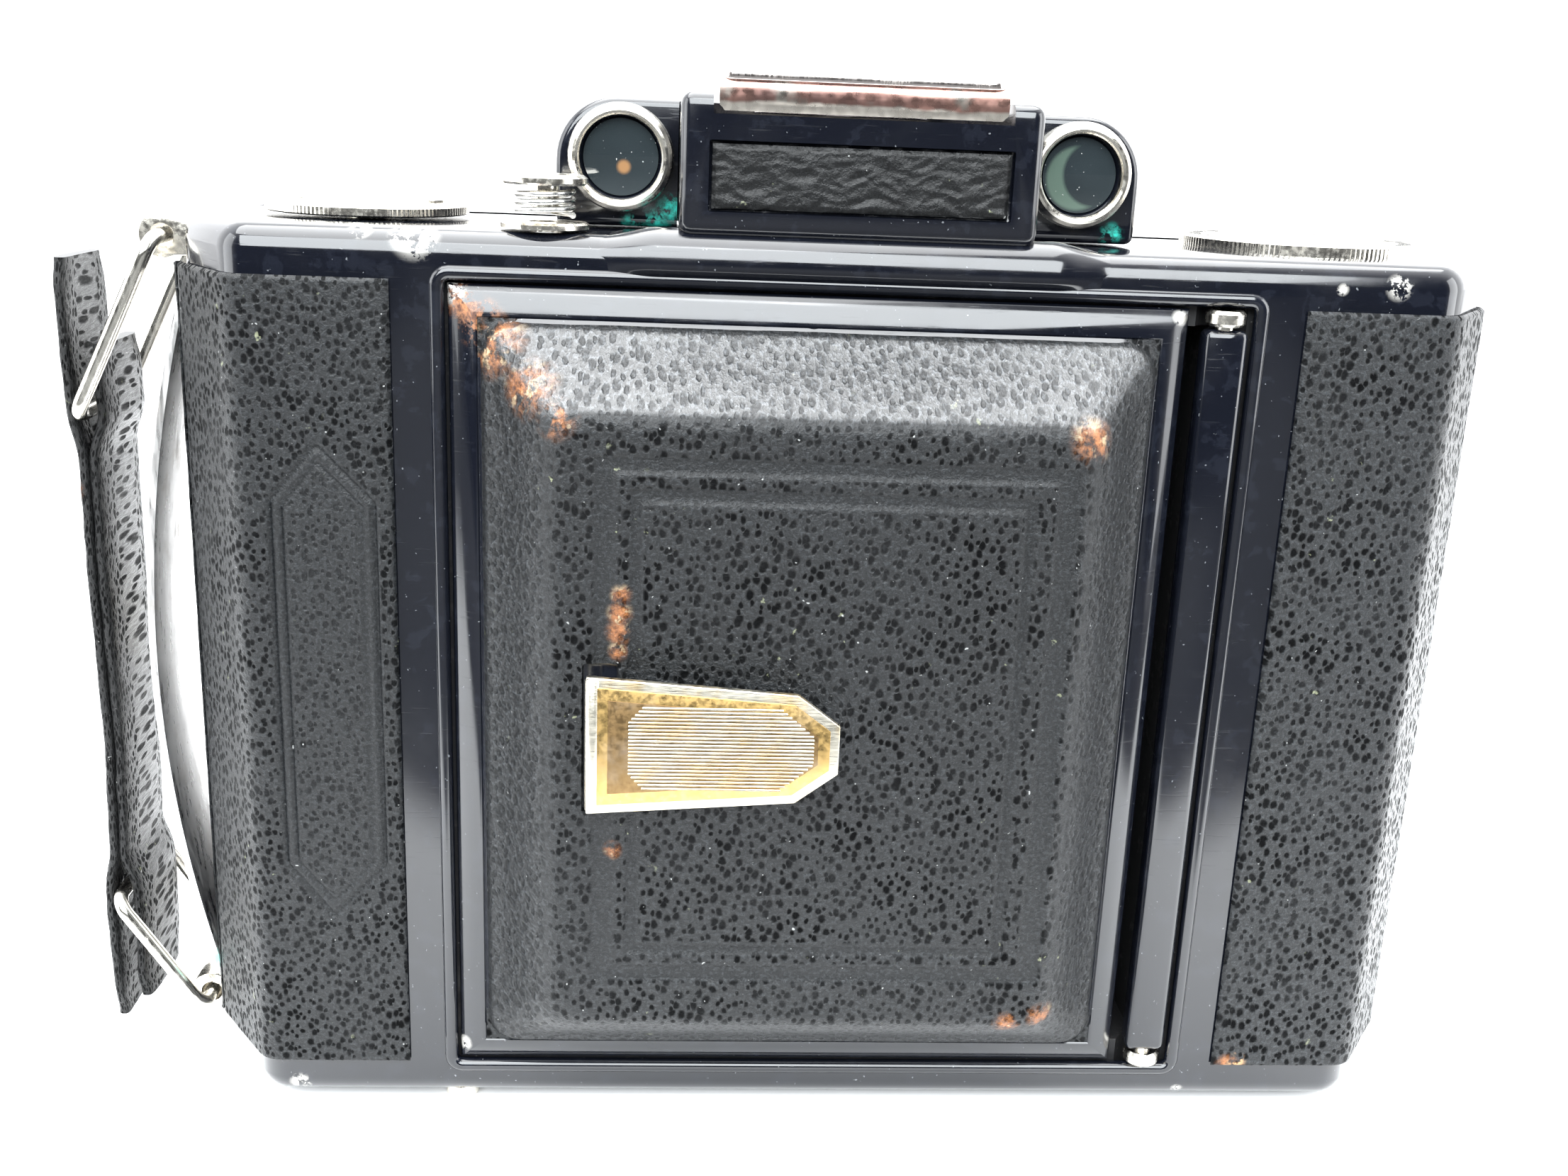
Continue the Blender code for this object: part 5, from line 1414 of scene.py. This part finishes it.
def make_lug(name, up):
    low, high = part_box("lug_" + name)
    eye = lug_eye(name, up)
    back, tail = high.x, high.x - 0.7 * MM
    end = low.z if up > 0 else high.z
    outline = [(tail, eye.z - up * 1.9 * MM), (tail, end), (back, end)]
    outline.append((back, eye.z + up * 1.2 * MM))
    outline += arc((eye.x, eye.z), EYE_R, up * 60, up * 300, 26)
    if up < 0:
        outline.reverse()
    shape = forward(prism(outline, low.y, high.y, 0.15 * MM, 2, 50))
    bore = arc((eye.x, eye.z), 1.2 * MM, 0, 345, 23)
    bore = forward(prism(bore, low.y - MM, high.y + MM))
    piece("lug_band_" + name, cut(shape, bore), NICKEL, "root", "lug_" + name)


def make_ring_shape(name, up):
    radius = 0.75 * MM
    width = 2 * (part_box("ring_" + name)[1].y - radius)
    eye = lug_eye(name, up)
    drop = 18.0 * MM if up > 0 else 13.0 * MM
    far = Vector((middle_of(*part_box("strap"))[0], 0, eye.z - up * drop))
    reach, along = (far - eye).length, (far - eye).normalized()
    outline = rectangle(width, reach, 2.0 * MM, (0, reach / 2), 10)
    points = [eye + along * v + Vector((0, u, 0)) for u, v in outline]
    body = "ring_upper" if up > 0 else "ring_lower"
    made = wire(points, radius, True, 20)
    piece("wire_ring_" + name, made, RING_METAL, body, "ring_" + name)


def make_latch():
    low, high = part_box("back_latch")
    shapes = [box(low, high, 0.35 * MM, 3)]
    for k in range(7):
        z = low.z + (1.6 + 0.9 * k) * MM
        rib = (low.x + 0.3 * MM, high.y - 0.8 * MM, z + 0.35 * MM)
        shapes.append(box((low.x - 0.01 * MM, low.y + 0.8 * MM, z), rib, 0.1 * MM, 1))
    piece("latch_slider", merged(*shapes), NICKEL, "latch", "back_latch")


BARS = ((71.9 * MM, 1), (18.0 * MM, -1))  # height of each ring's bar, and the way to the strap's end


def strap_opening(z):
    """How far the strap's layers part round a ring's bar and beyond it."""
    gap = 0.0
    for bar, sign in BARS:
        t = (z - bar) * sign
        part = 0.72 * s_curve((t + 5.0 * MM) / (5.0 * MM))
        gap = max(gap, part * (1 - 0.25 * s_curve((t - 4 * MM) / (9 * MM))))
    return gap * MM


def strap_line(z):
    """Sideways wander of the old strap, between its loops."""
    return 0.5 * MM * math.sin((z - 20 * MM) * 62) + 0.22 * MM * math.sin(z * 190 + 1.0)


def make_strap():
    """Two sewn layers of leather, open round each ring's bar and split at the ends."""
    low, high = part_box("strap")
    middle, half_y = (low.x + high.x) / 2, high.y - 0.35 * MM
    around, steps = 56, 190
    layers = (
        ("outer", -1, low.z, high.z, 0.92, "strap"),
        ("inner", 1, low.z + 2.4 * MM, high.z - 8.5 * MM, 1.75, None),
    )
    for layer, sign, start, stop, parting, node in layers:
        shape = bmesh.new()
        rings = []
        for i in range(steps + 1):
            z = start + (stop - start) * i / steps
            shrink = 1 - 0.16 * (1 - s_curve(min(z - start, stop - z) / (3.2 * MM)))
            core = middle + strap_line(z) * 0.55
            core += sign * (0.78 * MM + strap_opening(z) * parting)
            ring = []
            for k in range(around):
                angle = 2 * math.pi * k / around
                c, d = math.cos(angle), math.sin(angle)
                y = half_y * shrink * math.copysign(abs(c) ** 0.35, c)
                x = 0.72 * MM * math.copysign(abs(d) ** 0.55, d)
                y += 0.12 * MM * noise.noise(Vector((z * 240, sign * 3, c)))
                x += 0.09 * MM * noise.noise(Vector((z * 420, y * 420, sign)))
                x -= 0.25 * MM * (y / half_y) ** 2 * sign
                ring.append(shape.verts.new((core + x, y, z)))
            rings.append(ring)
        grained(shape, rings, 30 * MM, stop - start)
        shape.faces.new(rings[0])
        shape.faces.new(rings[-1])
        piece("strap_layer_" + layer, shape, STRAP_LEATHER, "carry_strap", node, 50)


# ---------------------------------------------------------------- lens, bellows and back

def on_lens(shape, y):
    """Stand a shape on the lens axis with its base at y, pointing forward."""
    return moved(forward(shape), (LENS.x, y, LENS.z))


def round_size(node):
    """Radius, depth and rear plane of a round node that lies along the lens axis."""
    low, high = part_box(node)
    return (high.x - low.x) / 2, high.y - low.y, high.y


def make_shutter():
    depth, rear = round_size("shutter_case")[1:]
    case = [
        (0, 0),
        (SHUTTER_R - 0.6 * MM, 0),
        (SHUTTER_R, 0.6 * MM),
        (SHUTTER_R, depth - 2.2 * MM),
        (SHUTTER_R - 0.4 * MM, depth - 2.0 * MM),
        (SHUTTER_R - 0.4 * MM, depth - 1.6 * MM),
        (SHUTTER_R, depth - 1.4 * MM),
        (SHUTTER_R - 0.1 * MM, depth - 0.4 * MM),
        (SHUTTER_R - 0.5 * MM, depth),
        (0, depth),
    ]
    case = on_lens(lathe(case, 96), rear)
    piece("shutter_body", case, ENAMEL_PLAIN, "standard", "shutter_case")
    outer, depth, rear = round_size("speed_ring")
    edge, face = depth - 0.3 * MM, depth - 0.02 * MM
    ring = [(outer, 0), (outer, edge), (outer - 0.3 * MM, face)]
    ring += [(13.9 * MM, face), (13.6 * MM, edge), (13.6 * MM, 0)]
    ring = on_lens(lathe(ring, 96, True), rear)
    piece("speed_dial_ring", ring, ENAMEL_PLAIN, "speed_dial", "speed_ring")
    sunk, rim = depth - 0.1 * MM, outer - 0.8 * MM
    marks = []
    for i in range(44):
        angle = math.radians(20 + 320 * i / 43)
        inner = rim - (2.6 * MM if i % 4 == 0 else 1.3 * MM)
        marks.append(tick(angle, inner, rim, sunk, depth, 0.1 * MM))
    for i in range(8):
        dot = lathe([(0, sunk), (0.5 * MM, sunk), (0.45 * MM, depth), (0, depth)], 20)
        moved(dot, (outer - 5.2 * MM, 0, 0))
        marks.append(spun(dot, math.radians(28 + 40 * i)))
    piece("speed_dial_marks", on_lens(merged(*marks), rear), NICKEL, "speed_dial")


def make_lens():
    outer, depth, rear = round_size("lens_mount")
    barrel_in = [(0, 0), (outer, 0), (outer, depth - 0.5 * MM)]
    barrel_in += [(outer - 0.5 * MM, depth), (outer - 1.1 * MM, depth)]
    for i in range(6):
        radius, z = outer - 1.2 * MM - 0.45 * MM * i, depth - 0.32 * MM * i - 0.3 * MM
        barrel_in += [(radius, z), (radius - 0.35 * MM, z)]
    barrel_in += [(9.05 * MM, depth - 2.5 * MM), (9.05 * MM, 2 * MM), (0, 2 * MM)]
    mount = on_lens(lathe(barrel_in, 96), rear)
    piece("lens_barrel", mount, ENAMEL_PLAIN, "standard", "lens_mount")
    outer, depth, rear = round_size("focus_ring")
    knurl = []
    for i in range(360):
        angle = 2 * math.pi * i / 360
        r = outer - (0.22 * MM if i % 3 == 0 else 0)
        knurl.append((r * math.cos(angle), r * math.sin(angle)))
    grip = cut(prism(knurl, 0, depth), cylinder(13.3 * MM, -MM, depth + MM, 96))
    piece("focus_grip", on_lens(grip, rear), NICKEL, "focus", "focus_ring", 25)
    radius, depth, rear = round_size("front_glass")
    radius -= 0.02 * MM
    rise = 1.6 * MM
    dome = [(0, 0.1 * MM), (radius, 0.1 * MM)]
    for i in range(10):
        a = math.radians(9 * i)
        dome.append((radius * math.cos(a), depth - rise + rise * math.sin(a)))
    dome.append((0, depth))
    dome = on_lens(lathe(dome, 96), rear)
    piece("front_lens", dome, LENS_GLASS, "standard", "front_glass")
    radius, depth, rear = round_size("rear_cell")
    cell = [(0, 0), (radius, 0), (radius, 0.6 * MM)]
    for i in range(9):
        z = 0.6 * MM + i * (depth - 1.4 * MM) / 9
        cell += [(radius - 0.2 * MM, z + 0.15 * MM), (radius, z + 0.45 * MM)]
    cell += [(radius - 0.5 * MM, depth), (8 * MM, depth)]
    cell += [(8 * MM, depth - 1.5 * MM), (0, depth - 0.6 * MM)]
    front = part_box("rear_cell")[0].y
    cell = moved(backward(lathe(cell, 72)), (LENS.x, front, LENS.z))
    piece("rear_lens_cell", cell, ENAMEL_PLAIN, "standard", "rear_cell", 40)


def make_bellows():
    """Pleated leather cone from the film gate to the lens standard."""
    low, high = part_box("bellows")
    folds = 13
    steps = folds * 6
    shape = bmesh.new()
    rear = (high.x - low.x, high.z - low.z)
    front = (0.80 * rear[0], 0.84 * rear[1])
    middle = Vector((LENS.x, 0, MID_Z))
    rings = []
    for i in range(steps + 1):
        t = i / steps
        y = high.y + (low.y - high.y) * t
        phase = abs(((t * folds) % 1.0) * 2 - 1)
        inset = 2.6 * MM * phase if 0 < i < steps else 1.3 * MM
        width, tall = (a + (b - a) * t - 2 * inset for a, b in zip(rear, front))
        outline = rectangle(width, tall, 5.0 * MM + inset, (middle.x, middle.z))
        rings.append([shape.verts.new((x, y, z)) for x, z in outline])
    grained(shape, rings, 220 * MM, 60 * MM)
    bmesh.ops.recalc_face_normals(shape, faces=shape.faces)
    if sum(f.normal.dot(f.calc_center_median() - middle) for f in shape.faces) < 0:
        bmesh.ops.reverse_faces(shape, faces=shape.faces)
    mesh = solidified(shape, 0.35 * MM)
    item = piece("pleated_bellows", mesh, BELLOWS_LEATHER, None, "bellows", 20)
    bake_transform(item)


def make_back():
    low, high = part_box("back_leather")
    width, tall = high.x - low.x, high.z - low.z
    ruby_low, ruby_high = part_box("ruby_window")
    x, _, z = middle_of(ruby_low, ruby_high)
    ruby = Vector((x, 0, z))

    def place(u, v):
        x, z = low.x + width * u, low.z + tall * v
        edge = edge_distance(u, v, width, tall)
        height = 0.45 * MM * s_curve(edge / (0.5 * MM))
        height += groove(edge - 5 * MM, 0.7 * MM, 0.22 * MM)
        height += groove(edge - 6.6 * MM, 0.5 * MM, 0.16 * MM)
        height += 0.03 * MM * noise.noise(Vector((x * 300, 5.0, z * 300)))
        return (x, low.y + height, z)

    def in_hole(face):
        way = face.calc_center_median() - ruby
        return Vector((way.x, way.z)).length < 5.2 * MM

    sheet = grid((width, tall), 0.5 * MM, place)
    gone = [face for face in sheet.faces if in_hole(face)]
    bmesh.ops.delete(sheet, geom=gone, context="FACES")
    sheet = thick(sheet, 0.3 * MM, (0, 1, 0))
    piece("back_covering", sheet, BACK_LEATHER, "back", "back_leather", 60)
    trim = in_mm((4.6, 0), (5.9, 0), (5.9, 0.25), (5.6, 0.5), (4.9, 0.5), (4.6, 0.3))
    trim = moved(backward(lathe(trim, 56, True)), (ruby.x, low.y, ruby.z))
    piece("ruby_trim", trim, NICKEL, "back")
    radius, rear = 4.55 * MM, ruby_high.y
    pane = [(0, ruby_low.y), (radius, ruby_low.y), (radius, rear - 0.1 * MM), (0, rear)]
    piece("ruby_pane", moved(backward(lathe(pane, 48)), ruby), RUBY_GLASS, "back", "ruby_window")
    low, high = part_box("window_cover")
    shapes = [box(low, high, 0.25 * MM, 2)]
    for i in range(5):
        left = low.x + (1.2 + 0.8 * i) * MM
        start = (left, high.y - 0.2 * MM, low.z + 4 * MM)
        shapes.append(box(start, (left + 0.4 * MM, high.y, high.z - 4 * MM)))
    piece("ruby_shutter", merged(*shapes), ENAMEL_PLAIN, "shuttle", "window_cover")


def dress(finish, *names):
    """Give CAD nodes that stay in view a finish."""
    for name in names:
        data = NODES[name].data
        data.materials.clear()
        data.materials.append(finish)
        smooth(data, 30)


def make_inside():
    dress(MATT, "inner_body")
    dress(ENAMEL_PLAIN, "standard_board")
    dress(STEEL, "strut_root_top", "strut_tip_top", "strut_root_bottom", "strut_tip_bottom")
    dress(STEEL, "pressure_plate", "pressure_spring")
    dress(NICKEL, "cocking_lever", "release_lever", "aperture_lever", "base_plate", "rf_arm")
    dress(LENS_GLASS, "rf_wedge_glass")


# ---------------------------------------------------------------- the whole scene

make_stage()
make_world()
make_camera()
bpy.context.scene.view_settings.view_transform = "Standard"
area_light("overhead", (-0.05, 0.03, 0.72), 0.95, 0.70, 8.0, (0.97, 0.99, 1.0))
area_light("front_high", (-0.10, -0.80, 0.66), 1.2, 0.72, 13.0, (0.93, 0.975, 1.0))
area_light("left_box", (-0.60, -0.16, 0.20), 0.30, 0.60, 4.0, (0.95, 0.98, 1.0))
area_light("right_box", (0.60, -0.20, 0.20), 0.30, 0.60, 5.0, (0.96, 0.98, 1.0))
make_case()
leather_panel("panel_left", -1, -9.8 * MM, LEFT_LEATHER, "leather_left")
leather_panel("panel_right", 1, 7.8 * MM, RIGHT_LEATHER, "leather_right")
make_door()
make_hinge_bar()
make_tongue()
make_housing()
make_sights()
make_knob()
make_dial()
make_release()
make_side()
make_strap()
make_inside()
make_shutter()
make_lens()
make_bellows()
make_back()
